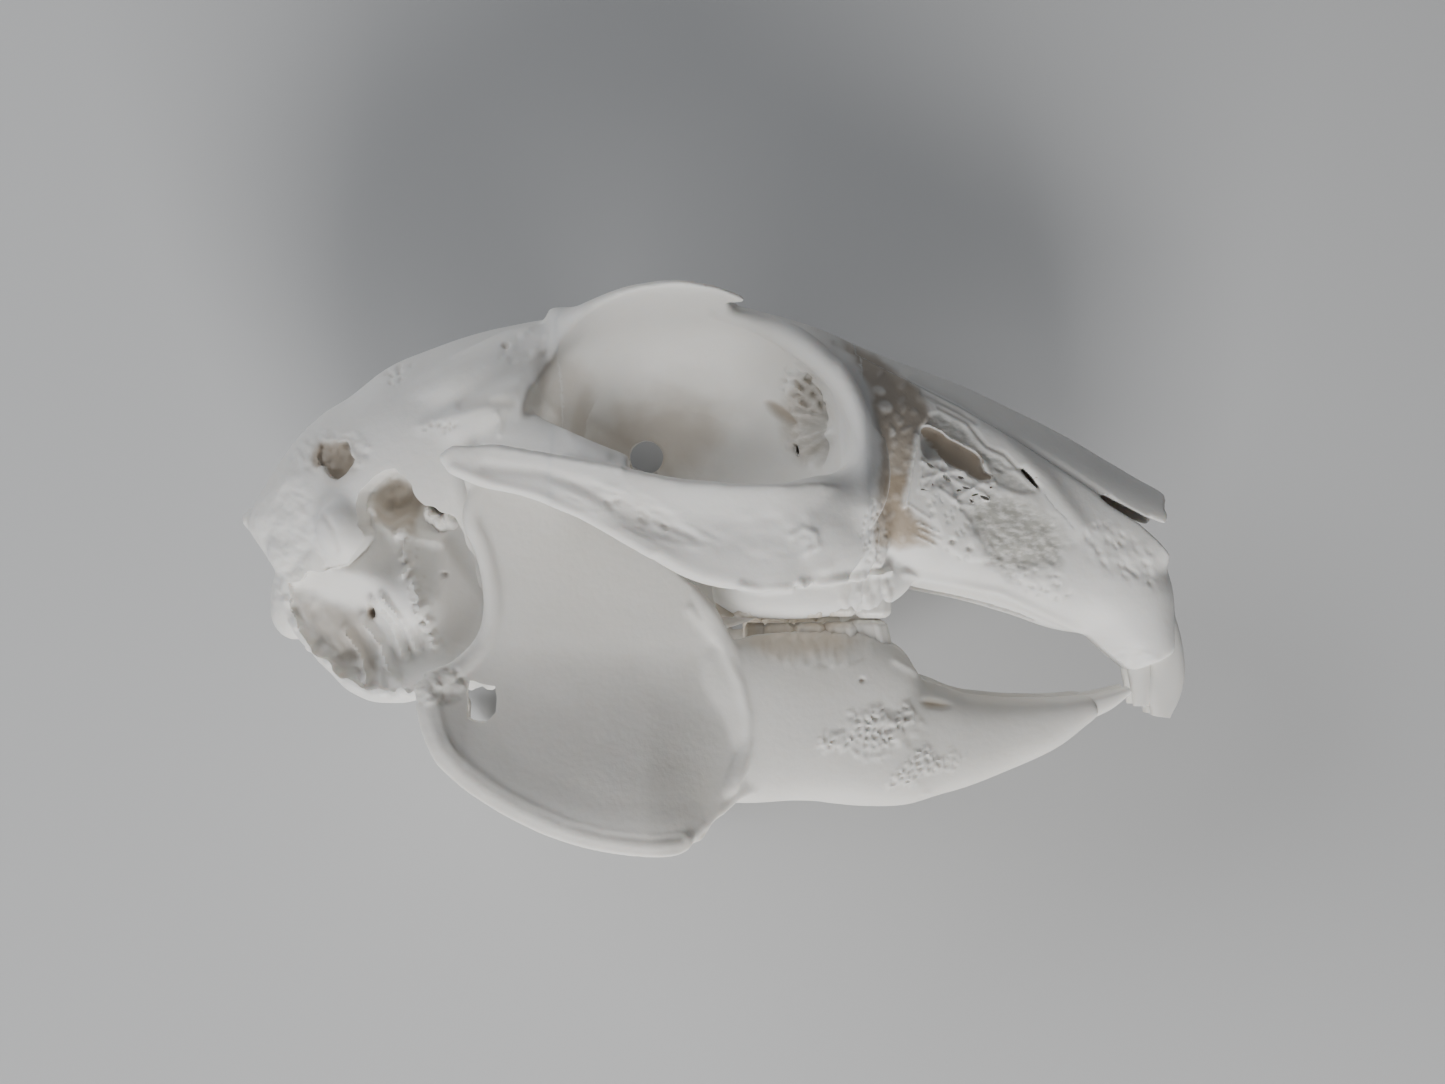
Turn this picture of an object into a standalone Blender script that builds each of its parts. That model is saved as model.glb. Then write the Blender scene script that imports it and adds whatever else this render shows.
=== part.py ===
"""A rabbit skull with its lower jaw, life size, lying on its left side.

The skull is drawn upright: x runs towards the nose, y towards the roof and z towards the animal's
right, all in millimetres from the middle of the skull. MM turns them into metres, and the last
step turns the skull onto its left cheek arch and left jaw angle, where it comes to rest.
"""

import math

import bmesh
import bpy
import numpy as np
from mathutils import Euler, Matrix, Vector

MM = 0.001
GAP = 0.3  # what touching pieces keep between them
RIGHT, LEFT = 1, -1

# Overall sizes of the animal's skull
ARCH_HALF_WIDTH = 20.4  # midline to the middle of a cheek arch
ARCH_CUT = 16.8  # midline to the cut that frees the cheek arch from its roots

ARCH_THICKNESS = 1.5
ARCH_LEAN = 0.07  # how far the top of a cheek arch leans out, for each millimetre of height
ARCH_BOW = 0.0010  # how far it curves in, for each square millimetre along it
ARCH_FOSSA = 0.5  # depth of the hollow on its outer face
BROW_RISE = 0.24  # how far the brow climbs for each millimetre outwards
BROW_SAG = 0.030  # how far its two ends hang below its middle
BROW_DROOP = 0.008
BROW_START = 7.0  # midline to the inner edge of the brow's free plate
JAW_PLATE_THICKNESS = 1.24
JAW_FLARE = 5.6  # how far the angle of the jaw bends outwards

# Fineness of the fused bone
VOXEL = 0.42
PLATE_VOXEL = 0.4
CUTTER_VOXEL = 0.5
BONE_TRIANGLES = 7800
JAW_TRIANGLES = 1450
EAR_TRIANGLES = 500
SMALLEST_BONE = 20  # in cubic millimetres; what the cuts leave smaller than this is a scrap

# The long body of the skull, from the back of the head to the snout
CORE = [
    # x, top, bottom, half width, belly, roof power, floor power
    (-42.6, 3.6, -3.8, 4.6, 0.50, 2.2, 2.2),
    (-40.0, 8.4, -6.4, 7.4, 0.50, 2.3, 2.2),
    (-37.6, 11.4, -8.2, 10.0, 0.50, 2.4, 2.0),
    (-34.6, 13.9, -9.2, 11.6, 0.50, 2.4, 1.9),
    (-31.0, 16.6, -9.6, 12.6, 0.50, 2.5, 1.8),
    (-26.8, 18.3, -9.2, 13.2, 0.52, 2.5, 1.8),
    (-22.4, 19.8, -8.2, 13.0, 0.54, 2.4, 1.8),
    (-18.0, 20.8, -7.0, 12.0, 0.58, 2.3, 1.8),
    (-14.0, 21.4, -5.6, 10.4, 0.62, 2.3, 1.8),
    (-9.5, 22.0, -4.2, 8.9, 0.70, 2.5, 1.7),
    (-4.5, 22.3, -3.0, 8.4, 0.72, 2.6, 1.6),
    (0.5, 22.4, -2.4, 8.8, 0.70, 2.6, 1.6),
    (4.5, 21.4, -2.4, 10.6, 0.60, 2.8, 1.7),
    (8.5, 20.2, -2.6, 12.2, 0.52, 2.8, 1.9),
    (12.5, 18.6, -3.0, 12.0, 0.46, 2.4, 2.0),
    (17.0, 16.9, -4.4, 10.0, 0.43, 2.1, 2.4),
    (22.0, 15.1, -5.4, 8.6, 0.42, 1.9, 2.9),
    (27.0, 12.8, -6.8, 7.5, 0.42, 2.0, 2.9),
    (32.0, 10.3, -8.4, 6.6, 0.42, 2.1, 2.6),
    (36.0, 8.0, -8.6, 5.9, 0.42, 2.2, 2.2),
    (39.0, 6.2, -6.8, 5.4, 0.45, 2.2, 2.0),
    (41.8, 4.6, -3.0, 4.6, 0.50, 2.2, 2.0),
]

# Side-view outline of the cheek arch's plate
ARCH_OUTLINE = [
    (-24.2, 7.2), (-23.0, 8.1), (-19.0, 8.2), (-10.3, 6.7), (-3.6, 5.2), (1.2, 4.9), (5.0, 4.4),
    (10.0, 4.0), (10.6, 0.4), (9.4, -2.6), (5.5, -4.0), (1.5, -4.1), (-1.9, -3.4), (-6.9, -0.9),
    (-12.0, 2.1), (-17.1, 4.0), (-20.5, 4.6), (-23.0, 5.7),
]

# Top-view outline of the plate over the eye socket, as x and distance from the midline
BROW_OUTLINE = [
    (-15.0, 13.6), (-12.7, 15.3), (-8.7, 16.0), (-3.3, 16.0), (-0.2, 15.0), (2.3, 13.2), (1.8, 12.2),
    (0.2, 11.4), (1.6, 8.8), (3.0, 4.0), (-11.5, 4.0), (-10.2, 8.6), (-11.0, 11.4), (-13.4, 12.6),
]
BROW_LOW, BROW_HIGH = 15.5, 21.5  # the heights it is cut from

# Side-view outline of the lower jaw's upright plate
JAW_OUTLINE = [
    (-21.6, 5.6), (-18.6, 5.8), (-15.5, 4.2), (-12.0, 2.6), (-8.0, 0.4), (-4.5, -2.1), (-2.4, -4.1),
    (-0.8, -6.3), (1.4, -9.8), (6.0, -12.7), (6.0, -21.7), (1.4, -23.0), (-0.8, -24.6),
    (-1.8, -26.2), (-3.6, -26.6), (-6.4, -26.6), (-10.5, -26.0), (-13.9, -25.0), (-17.4, -23.6),
    (-20.6, -21.7), (-23.0, -19.6), (-24.6, -17.6), (-25.8, -13.8), (-25.9, -11.3), (-23.4, -10.8),
    (-21.6, -9.3), (-20.4, -5.9), (-20.8, -2.9), (-21.8, 0.1), (-22.6, 2.8),
]
JAW_HOLE = [(-22.1, -12.1), (-19.8, -12.4), (-19.7, -14.7), (-20.4, -15.5), (-22.2, -15.4)]

# How far from the midline the jaw's plate stands, as pairs of x and distance
JAW_STANDS_OUT = [(-27, 17.0), (-22, 14.9), (-10, 13.0), (0, 11.0), (6, 9.6), (12, 7.6), (20, 4.6)]

# The bowl of the eye socket, from its deep end outwards
SOCKET = [
    # z, centre x, centre y, half length, half height
    (0.7, -4.2, 8.3, 3.6, 2.4),
    (1.3, -3.8, 8.7, 7.0, 5.2),
    (2.6, -3.2, 9.0, 9.4, 7.8),
    (4.6, -2.8, 9.2, 11.0, 9.6),
    (7.0, -2.4, 9.1, 12.2, 10.7),
    (9.4, -2.6, 8.5, 13.0, 11.5),
    (12.0, -3.0, 8.1, 13.5, 12.2),
    (15.0, -3.4, 7.8, 14.0, 13.0),
    (20.0, -3.6, 7.9, 14.6, 13.8),
]

# Hollows inside the skull, as stations like those of its body
BRAIN = [
    (-38.5, 5.0, -2.6, 3.4, 0.50, 2.2, 2.2),
    (-36.2, 8.4, -4.6, 6.6, 0.50, 2.3, 2.0),
    (-32.5, 13.0, -5.6, 9.6, 0.50, 2.3, 2.0),
    (-27.0, 16.2, -5.2, 11.2, 0.50, 2.4, 2.0),
    (-22.0, 18.0, -3.6, 10.6, 0.52, 2.3, 2.0),
    (-18.2, 18.6, -0.6, 7.6, 0.58, 2.2, 2.0),
    (-15.4, 17.6, 5.0, 4.0, 0.60, 2.0, 2.0),
]
NOSE = [
    (13.0, 14.6, 5.0, 2.4, 0.45, 2.0, 2.0),
    (17.0, 14.4, 0.6, 5.6, 0.42, 2.0, 2.0),
    (22.0, 12.8, -1.6, 6.0, 0.40, 2.0, 2.0),
    (28.0, 10.2, -2.4, 5.2, 0.42, 2.1, 2.0),
    (34.0, 7.0, -2.4, 4.4, 0.46, 2.2, 2.0),
    (39.0, 4.2, -1.6, 3.9, 0.50, 2.2, 2.0),
    (45.0, 0.6, -1.0, 3.4, 0.50, 2.2, 2.0),
]
OPTIC_HOLE = (-7.2, 8.0, 1.6)  # x, y and radius
EAR_CANAL = (-29.4, 2.8, 2.4)
NOSTRIL = [
    (35.8, 4.0), (39.3, 2.3), (41.8, 1.7), (47.0, 1.4), (47.0, -4.0), (41.7, -1.2), (40.3, 0.2),
    (39.0, 1.6),
]
NASAL_TIP = [(42.0, 6.0), (41.4, 1.0), (47.0, 0.0), (47.0, 8.0)]

# Side-view outlines of the openings, from the photograph's measured corners
EAR_WINDOW = [
    (-31.9, 3.8), (-30.5, 5.6), (-28.9, 6.2), (-27.9, 5.3), (-26.5, 3.8), (-24.8, 0.6),
    (-22.0, -4.8), (-24.0, -9.4), (-29.0, -10.2), (-33.2, -7.2), (-33.8, -1.6), (-32.0, -0.7),
    (-31.3, 1.1), (-32.5, 3.4),
]

MASTOID_WINDOW = [(-36.0, 9.4), (-33.2, 9.2), (-32.6, 7.4), (-33.7, 5.8), (-35.4, 5.8), (-36.0, 7.8)]

FACE_WINDOW = [
    (16.8, 12.5), (18.7, 11.3), (21.4, 9.7), (26.0, 7.5), (28.3, 5.5), (30.5, 3.1), (31.6, 1.2),
    (28.8, -1.1), (24.3, -2.5), (19.0, 1.3), (17.4, 4.8),
]

FACE_SLIT = [(17.6, 10.0), (19.3, 10.4), (21.6, 8.6), (24.1, 8.0), (24.6, 6.0), (21.6, 6.3), (18.0, 6.8)]

FACE_WINDOW_DEPTH, FACE_SLIT_DEPTH = 0.9, 4.4  # below the side wall of the snout

# Cheek teeth: middle along x, half length, half width
UPPER_TEETH = [
    (13.7, 1.15, 1.6), (10.6, 1.25, 2.1), (7.8, 1.25, 2.15), (5.0, 1.2, 2.1), (2.3, 1.1, 1.9),
    (0.2, 0.7, 1.1),
]

LOWER_TEETH = [(13.8, 1.7, 1.6), (10.6, 1.25, 1.6), (7.9, 1.25, 1.6), (5.2, 1.2, 1.5), (3.2, 0.6, 1.0)]

BITE = -7.3  # height at which the two rows meet
ROW_OUT_UPPER, ROW_OUT_LOWER = 7.3, 6.8  # midline to the middle of each row
UPPER_ROOT, LOWER_ROOT = -1.6, -13.0  # heights of the ends that are sunk in the bone
ROW_CURVE = 0.012  # how far a row's two ends bend towards the midline
FRONT_LIFT = 0.55  # how far up the front teeth of both rows stand
INCISOR_OUT = 1.75

# Cuts that part the skull where its bones meet, as lines in the side view
NAPE_CUT = [
    (-37.0, 40), (-37.0, 4.5), (-36.2, -0.5), (-32.5, -4.5), (-29.5, -7.0), (-25.5, -7.6),
    (-24.0, -30),
]

CROWN_CUT = [(-13.9, 40), (-13.9, 2.0), (-15.5, -2.0), (-17.0, -30)]

ROOF_CUT = [(-13.9, 13.2), (-10.0, 12.2), (5.0, 12.2), (8.6, 15.0), (12.2, 17.2), (12.2, 40)]

PALATE_CUT = [(5.0, 12.2), (1.0, 6.0), (-4.4, 1.5), (-4.4, -30)]

NASAL_CUT = [
    (12.2, 17.2), (16.3, 15.2), (21.8, 12.5), (27.3, 9.3), (32.4, 6.0), (35.6, 3.9), (46.0, -2.9),
]

SNOUT_CUT = [
    (15.2, 15.75), (17.8, 12.3), (20.4, 10.4), (30.8, 2.4), (25.2, -3.0), (21.6, -9.0), (21.6, -30),
]

# The nodes of the upper skull and roughly where each has its middle
BONES = {
    "occiput": (-40, -2, 0),
    "braincase": (-25, 8, 0),
    "frontal": (-1, 18, 0),
    "skull_base": (-8, 0, 0),
    "maxilla": (10, 4, 0),
    "nasal_right": (26, 12, 3),
    "nasal_left": (26, 12, -3),
    "premaxilla_right": (34, -3, 3),
    "premaxilla_left": (34, -3, -3),
    "zygomatic_arch_right": (-7, 4, 20),
    "zygomatic_arch_left": (-7, 4, -20),
}

# Colour of each bone, from the photograph: bleached white, yellower where it is rough or thin
BONE_WHITE = (0.86, 0.84, 0.79)
TINTS = {"occiput": 0.94, "maxilla": 0.95, "skull_base": 0.96, "tympanic_bulla_left": 0.97}


def in_metres(point):
    """A point in the file's millimetres as a vector in metres."""
    return Vector(point) * MM


def new_object(name, mesh):
    """A mesh object for a finished bmesh, kept out of the render until it becomes a part."""
    bmesh.ops.recalc_face_normals(mesh, faces=mesh.faces)
    data = bpy.data.meshes.new(name)
    mesh.to_mesh(data)
    mesh.free()
    thing = bpy.data.objects.new(name, data)
    bpy.context.scene.collection.objects.link(thing)
    return thing


def fair(stations, steps):
    """Points on one smooth curve through the stations, with this many steps between two of them."""
    table = np.array(stations, float)
    ends = np.vstack([2 * table[0] - table[1], table, 2 * table[-1] - table[-2]])
    rows = []
    for i in range(1, len(ends) - 2):
        before, start, stop, after = ends[i - 1 : i + 3]
        for t in np.arange(steps) / steps:
            rows.append(
                start
                + 0.5 * t * (stop - before)
                + t * t * (before - 2.5 * start + 2 * stop - 0.5 * after)
                + t * t * t * (1.5 * (start - stop) + 0.5 * (after - before))
            )
    rows.append(table[-1])
    return np.array(rows)


def loft(name, rings):
    """A closed skin through rings that all have the same number of points."""
    mesh = bmesh.new()
    rows = [[mesh.verts.new(in_metres(point)) for point in ring] for ring in rings]
    count = len(rows[0])
    for lower, upper in zip(rows, rows[1:]):
        for i in range(count):
            j = (i + 1) % count
            mesh.faces.new((lower[i], lower[j], upper[j], upper[i]))
    mesh.faces.new(rows[0])
    mesh.faces.new(rows[-1])
    return new_object(name, mesh)


def rounded(angle, power):
    """The two coordinates of a superellipse of radius 1 at this angle."""
    across, up = math.cos(angle), math.sin(angle)
    return (
        math.copysign(abs(across) ** (2 / power), across),
        math.copysign(abs(up) ** (2 / power), up),
    )


def body_loft(name, stations, steps=4, count=36):
    """A loft along x. A station is (x, top, bottom, half width, belly, roof power, floor power),
    where belly is how far up the widest level lies, from 0 to 1."""
    rings = []
    for x, top, bottom, half, belly, roof, floor in fair(stations, steps):
        middle = bottom + belly * (top - bottom)
        ring = []
        for i in range(count):
            angle = 2 * math.pi * (i + 0.5) / count
            upper = angle < math.pi
            across, up = rounded(angle, roof if upper else floor)
            reach = top - middle if upper else middle - bottom
            ring.append((x, middle + up * reach, half * across))
        rings.append(ring)
    return loft(name, rings)


def sweep(name, stations, side=RIGHT, steps=4, count=16, power=2.0):
    """A tapering limb of bone. A station is (x, y, z, depth, width): the half sizes of its section
    in the plane of the side view and across it. The section stands square to the path."""
    rows = fair(stations, steps)
    rings = []
    for i, (x, y, z, depth, width) in enumerate(rows):
        along = Vector(rows[min(i + 1, len(rows) - 1)][:3] - rows[max(i - 1, 0)][:3]).normalized()
        across = (Vector((0, 0, 1)) - along * along.z).normalized()
        upward = across.cross(along)
        ring = []
        for k in range(count):
            a, b = rounded(2 * math.pi * k / count, power)
            point = Vector((x, y, z)) + across * (a * width) + upward * (b * depth)
            ring.append((point.x, point.y, point.z * side))
        rings.append(ring)
    return loft(name, rings)


def lump(name, centre, radii, side=RIGHT, turn=(0, 0, 0)):
    """An ellipsoid, turned by degrees about x, y and z."""
    mesh = bmesh.new()
    bmesh.ops.create_uvsphere(mesh, u_segments=24, v_segments=14, radius=1)
    place = Matrix.LocRotScale(
        in_metres(centre), Euler([math.radians(a) for a in turn]), in_metres(radii)
    )
    bmesh.ops.transform(mesh, matrix=place, verts=mesh.verts)
    bmesh.ops.transform(mesh, matrix=Matrix.Diagonal((1, 1, side, 1)), verts=mesh.verts)
    return new_object(name, mesh)


def block(name, centre, size, turn=(0, 0, 0), side=RIGHT):
    """A box, turned by degrees about x, y and z."""
    mesh = bmesh.new()
    bmesh.ops.create_cube(mesh, size=1)
    place = Matrix.LocRotScale(
        in_metres(centre), Euler([math.radians(a) for a in turn]), in_metres(size)
    )
    bmesh.ops.transform(mesh, matrix=place, verts=mesh.verts)
    bmesh.ops.transform(mesh, matrix=Matrix.Diagonal((1, 1, side, 1)), verts=mesh.verts)
    return new_object(name, mesh)


def prism(name, outline, low, high, side=RIGHT):
    """An outline in the side view, carried straight across from z low to z high."""
    mesh = bmesh.new()
    corners = [mesh.verts.new(in_metres((x, y, low * side))) for x, y in outline]
    face = mesh.faces.new(corners)
    moved = bmesh.ops.extrude_face_region(mesh, geom=[face])["geom"]
    for vertex in moved:
        if isinstance(vertex, bmesh.types.BMVert):
            vertex.co.z += (high - low) * side * MM
    return new_object(name, mesh)


def circle(x, y, radius, count=20):
    """The corners of a round outline in the side view."""
    turns = [2 * math.pi * i / count for i in range(count)]
    return [(x + radius * math.cos(a), y + radius * math.sin(a)) for a in turns]


def apply_modifiers(thing):
    """The object's evaluated mesh takes the place of its own, and its modifiers go."""
    graph = bpy.context.evaluated_depsgraph_get()
    data = bpy.data.meshes.new_from_object(thing.evaluated_get(graph))
    thing.modifiers.clear()
    thing.data = data
    return thing


def remesh(thing, voxel=VOXEL, smoothing=0):
    """One skin over everything in the mesh, and then a number of smoothing rounds."""
    cover = thing.modifiers.new("skin", "REMESH")
    cover.mode = "VOXEL"
    cover.voxel_size = voxel * MM
    if smoothing:
        soften = thing.modifiers.new("soften", "SMOOTH")
        soften.factor = 0.5
        soften.iterations = smoothing
    return apply_modifiers(thing)


def bend(thing, shift):
    """Moves each vertex by what shift(x, y, z) says, all in millimetres."""
    for vertex in thing.data.vertices:
        vertex.co += in_metres(shift(*(vertex.co / MM)))
    return thing


def gathered(name, things):
    """Several objects in one mesh, still overlapping."""
    mesh = bmesh.new()
    for thing in things:
        mesh.from_mesh(thing.data)
        bpy.data.objects.remove(thing)
    return new_object(name, mesh)


def fuse(name, things, smoothing=3, voxel=VOXEL):
    """Several objects made one skin."""
    return remesh(gathered(name, things), voxel, smoothing)


def cut(thing, cutters, operation="DIFFERENCE", solver="EXACT"):
    """Takes the cutters out of the object, one after the other, and removes them."""
    for cutter in cutters:
        knife = thing.modifiers.new("cut", "BOOLEAN")
        knife.operation = operation
        knife.solver = solver
        knife.object = cutter
        apply_modifiers(thing)
        bpy.data.objects.remove(cutter)
    return thing


def thin_out(thing, triangles):
    """Fewer triangles, where the surface is flat."""
    thing.data.calc_loop_triangles()
    fewer = thing.modifiers.new("fewer", "DECIMATE")
    fewer.ratio = triangles / len(thing.data.loop_triangles)
    fewer.use_collapse_triangulate = True
    return apply_modifiers(thing)


def fresh_copy(thing, name):
    """A second object with a mesh of its own."""
    copy = bpy.data.objects.new(name, thing.data.copy())
    bpy.context.scene.collection.objects.link(copy)
    return copy


def combine(thing, others, operation="UNION", solver="EXACT"):
    """One Boolean of the object with all the others, which are removed after it."""
    group = bpy.data.collections.new("operands")
    for other in others:
        group.objects.link(other)
    join = thing.modifiers.new("combine", "BOOLEAN")
    join.operation = operation
    join.solver = solver
    join.operand_type = "COLLECTION"
    join.collection = group
    apply_modifiers(thing)
    for other in others:
        bpy.data.objects.remove(other)
    bpy.data.collections.remove(group)
    return thing


def closed_pieces(thing):
    """The object's separate closed surfaces, as (signed volume, middle in mm, vertices)."""
    mesh = bmesh.new()
    mesh.from_mesh(thing.data)
    seen, pieces = set(), []
    for start in mesh.verts:
        if start.index in seen:
            continue
        seen.add(start.index)
        queue, island = [start], []
        while queue:
            vertex = queue.pop()
            island.append(vertex)
            for edge in vertex.link_edges:
                other = edge.other_vert(vertex)
                if other.index not in seen:
                    seen.add(other.index)
                    queue.append(other)
        volume, moment = 0.0, Vector()
        for face in {face for vertex in island for face in vertex.link_faces}:
            corners = [vertex.co / MM for vertex in face.verts]
            for i in range(1, len(corners) - 1):
                part = corners[0].dot(corners[i].cross(corners[i + 1])) / 6
                volume += part
                moment += part * (corners[0] + corners[i] + corners[i + 1]) / 4
        pieces.append((volume, moment / volume if volume else moment, {v.index for v in island}))
    mesh.free()
    return pieces


def keep_piece(thing, keep):
    """Only the vertices with these indices stay."""
    mesh = bmesh.new()
    mesh.from_mesh(thing.data)
    gone = [vertex for vertex in mesh.verts if vertex.index not in keep]
    bmesh.ops.delete(mesh, geom=gone, context="VERTS")
    mesh.to_mesh(thing.data)
    mesh.free()
    return thing


def keep_largest(thing):
    """Drops loose scraps and sealed hollows."""
    pieces = closed_pieces(thing)
    return keep_piece(thing, max(pieces, key=lambda piece: piece[0])[2])


def smooth_step(value, low, high):
    """0 below low, 1 above high and an S-shaped rise between them."""
    t = min(max((value - low) / (high - low), 0.0), 1.0)
    return t * t * (3 - 2 * t)


def wall(x, y):
    """The half width of the skull's long body at this place in the side view."""
    columns = np.array(CORE).T
    top, bottom, half, belly, roof, floor = (np.interp(x, columns[0], c) for c in columns[1:])
    middle = bottom + belly * (top - bottom)
    height, power = (top - middle, roof) if y > middle else (middle - bottom, floor)
    return half * (1 - min(abs(y - middle) / height, 1.0) ** power) ** (1 / power)


def trunk_masses():
    """What the eye sockets are carved from."""
    things = [
        body_loft("core", CORE),
        sweep(
            "snout",
            [
                (24.0, 0.2, 0, 5.4, 6.6),
                (30.0, -0.4, 0, 6.6, 6.4),
                (34.2, -2.4, 0, 6.3, 6.2),
                (37.4, -5.0, 0, 5.4, 5.6),
                (39.2, -8.2, 0, 4.0, 4.8),
                (40.6, -11.2, 0, 2.7, 4.0),
            ],
            power=2.3,
        ),
        sweep("nape", [
            (-34.0, 10.4, 0, 2.4, 4.6), (-37.4, 9.8, 0, 1.6, 4.6), (-39.8, 9.0, 0, 1.5, 4.5),
            (-42.0, 5.4, 0, 1.2, 4.2), (-44.1, 2.0, 0, 1.0, 3.4), (-43.2, 0.4, 0, 0.9, 3.0),
        ], power=3),
        sweep(
            "skull_floor",
            [
                (-39.0, -8.2, 0, 2.4, 4.5),
                (-32.0, -8.6, 0, 2.2, 5.2),
                (-24.0, -7.6, 0, 2.4, 4.6),
                (-15.0, -5.6, 0, 2.6, 4.0),
                (-6.0, -4.0, 0, 2.8, 3.8),
                (2.0, -3.0, 0, 2.4, 5.0),
            ],
            power=2.6,
        ),
    ]
    for side in (RIGHT, LEFT):
        things += [
            brow(side),
            lump("condyle", (-39.9, -5.4, 4.6), (2.1, 3.7, 2.2), side, (0, 18, 0)),
            sweep("ear_bed", [
                (-38.4, -4.6, 6.6, 2.4, 2.6), (-36.0, -8.4, 8.6, 2.3, 2.4),
                (-33.2, -11.3, 10.2, 2.0, 1.7), (-30.6, -12.7, 10.8, 1.7, 1.2),
                (-27.8, -13.0, 11.0, 1.5, 0.9),
            ], side),
            sweep("temple", [
                (-25.6, 9.9, 12.0, 1.2, 1.2), (-21.5, 11.9, 12.8, 1.4, 1.6),
                (-17.5, 13.3, 12.2, 1.6, 1.8), (-14.6, 12.7, 9.6, 1.6, 1.6),
            ], side),
        ]
    return things


def limb_masses(side):
    """The parts of one side that stand clear of the skull's body."""
    return [
        arch(side),
        sweep("arch_root", [
            (9.0, -0.0, 8.4, 3.4, 3.0), (10.4, 0.0, 12.4, 3.8, 2.6), (9.8, 0.3, 16.8, 4.0, 2.3),
            (6.4, 0.5, 19.4, 3.8, 1.4),
        ], side),
        sweep("socket_rim", [
            (3.6, 19.2, 7.4, 1.3, 1.6), (8.2, 16.8, 10.6, 1.5, 1.6), (10.4, 12.4, 12.2, 1.4, 1.6),
            (11.4, 7.5, 13.6, 1.6, 1.9), (11.0, 2.7, 16.2, 2.0, 2.0),
        ], side),
        sweep("joint_root", [
            (-20.6, 11.2, 11.0, 3.9, 2.4), (-19.2, 10.8, 14.6, 3.2, 1.4),
            (-16.8, 9.4, 17.6, 2.4, 1.2), (-13.0, 7.5, 19.4, 1.5, 1.0), (-9.0, 6.2, 19.8, 0.9, 0.7),
        ], side),
        sweep("tooth_bed", [
            (-0.6, -2.7, 6.6, 2.8, 2.4), (1.8, -2.8, 7.0, 4.0, 2.9), (6.0, -3.0, 7.3, 4.1, 3.0),
            (9.8, -2.7, 7.0, 4.0, 2.8), (11.4, -1.7, 6.6, 3.0, 2.6), (15.6, -1.2, 5.4, 2.6, 2.2),
        ], side, power=3.2),
        sweep("pterygoid", [
            (4.0, -4.6, 4.6, 2.0, 1.3), (0.4, -5.4, 4.8, 2.6, 0.9), (-4.0, -6.2, 4.6, 2.8, 0.8),
            (-9.0, -7.6, 4.4, 2.2, 0.8), (-13.0, -9.4, 4.2, 0.9, 0.7),
        ], side, power=2.6),
    ]


def arch(side):
    """The cheek arch: a tall plate on edge, hollowed on its outer face, with a free tip behind."""
    inner, outer = ARCH_HALF_WIDTH - ARCH_THICKNESS / 2, ARCH_HALF_WIDTH + ARCH_THICKNESS / 2
    plate = remesh(prism("arch", ARCH_OUTLINE, inner, outer, side), PLATE_VOXEL)

    def bow(x, y, z):
        hollow = 0.0
        if z * side > ARCH_HALF_WIDTH:
            hollow = ARCH_FOSSA * math.exp(-(((x + 3) / 8) ** 2) - ((y - 1.6) / 2.2) ** 2)
        return (0, 0, side * (ARCH_LEAN * (y - 2.0) - ARCH_BOW * (x + 9) ** 2 - hollow))

    rim = [
        (-23.2, 6.8, 20.2, 0.9, 0.9), (-17.0, 5.0, 20.2, 0.9, 0.9), (-12.0, 3.0, 20.1, 0.9, 1.0),
        (-6.9, 0.1, 20.0, 0.9, 1.1), (-1.9, -2.5, 19.8, 1.0, 1.1), (3.4, -3.2, 19.5, 0.9, 1.1),
        (9.0, -1.9, 18.6, 0.9, 1.1),
    ]
    return gathered("arch", [bend(plate, bow), sweep("rim", rim, side)])


def brow(side):
    """The plate over the eye socket, with a free tip before and behind."""
    plate = prism("brow", BROW_OUTLINE, BROW_LOW, BROW_HIGH)
    swap = Matrix(((1, 0, 0, 0), (0, 0, 1, 0), (0, side, 0, 0), (0, 0, 0, 1)))
    plate.data.transform(swap)
    if side == RIGHT:
        plate.data.flip_normals()

    def lift(x, y, z):
        out = max(abs(z) - BROW_START, 0)
        sag = BROW_SAG * (x + 4.0) ** 2 * min(out / 8, 1)
        return (0, BROW_RISE * out - sag - BROW_DROOP * out**2, 0)

    return bend(remesh(plate, PLATE_VOXEL), lift)


def socket(side):
    """The bowl of the eye socket, open at the side and deepest at the optic hole."""
    rings = []
    for z, cx, cy, half_length, half_height in fair(SOCKET, 3):
        turns = [rounded(2 * math.pi * i / 40, 2.2) for i in range(40)]
        rings.append([(cx + half_length * a, cy + half_height * b, z * side) for a, b in turns])
    return loft("socket", rings)


def on_wall(outline, depth, side):
    """A cutter over this outline that goes this deep below the skull's own side wall."""
    cutter = remesh(prism("on_wall", outline, 0, 9.0, side), CUTTER_VOXEL)
    return bend(cutter, lambda x, y, z: (0, 0, side * (wall(x, y) - depth)))


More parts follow.
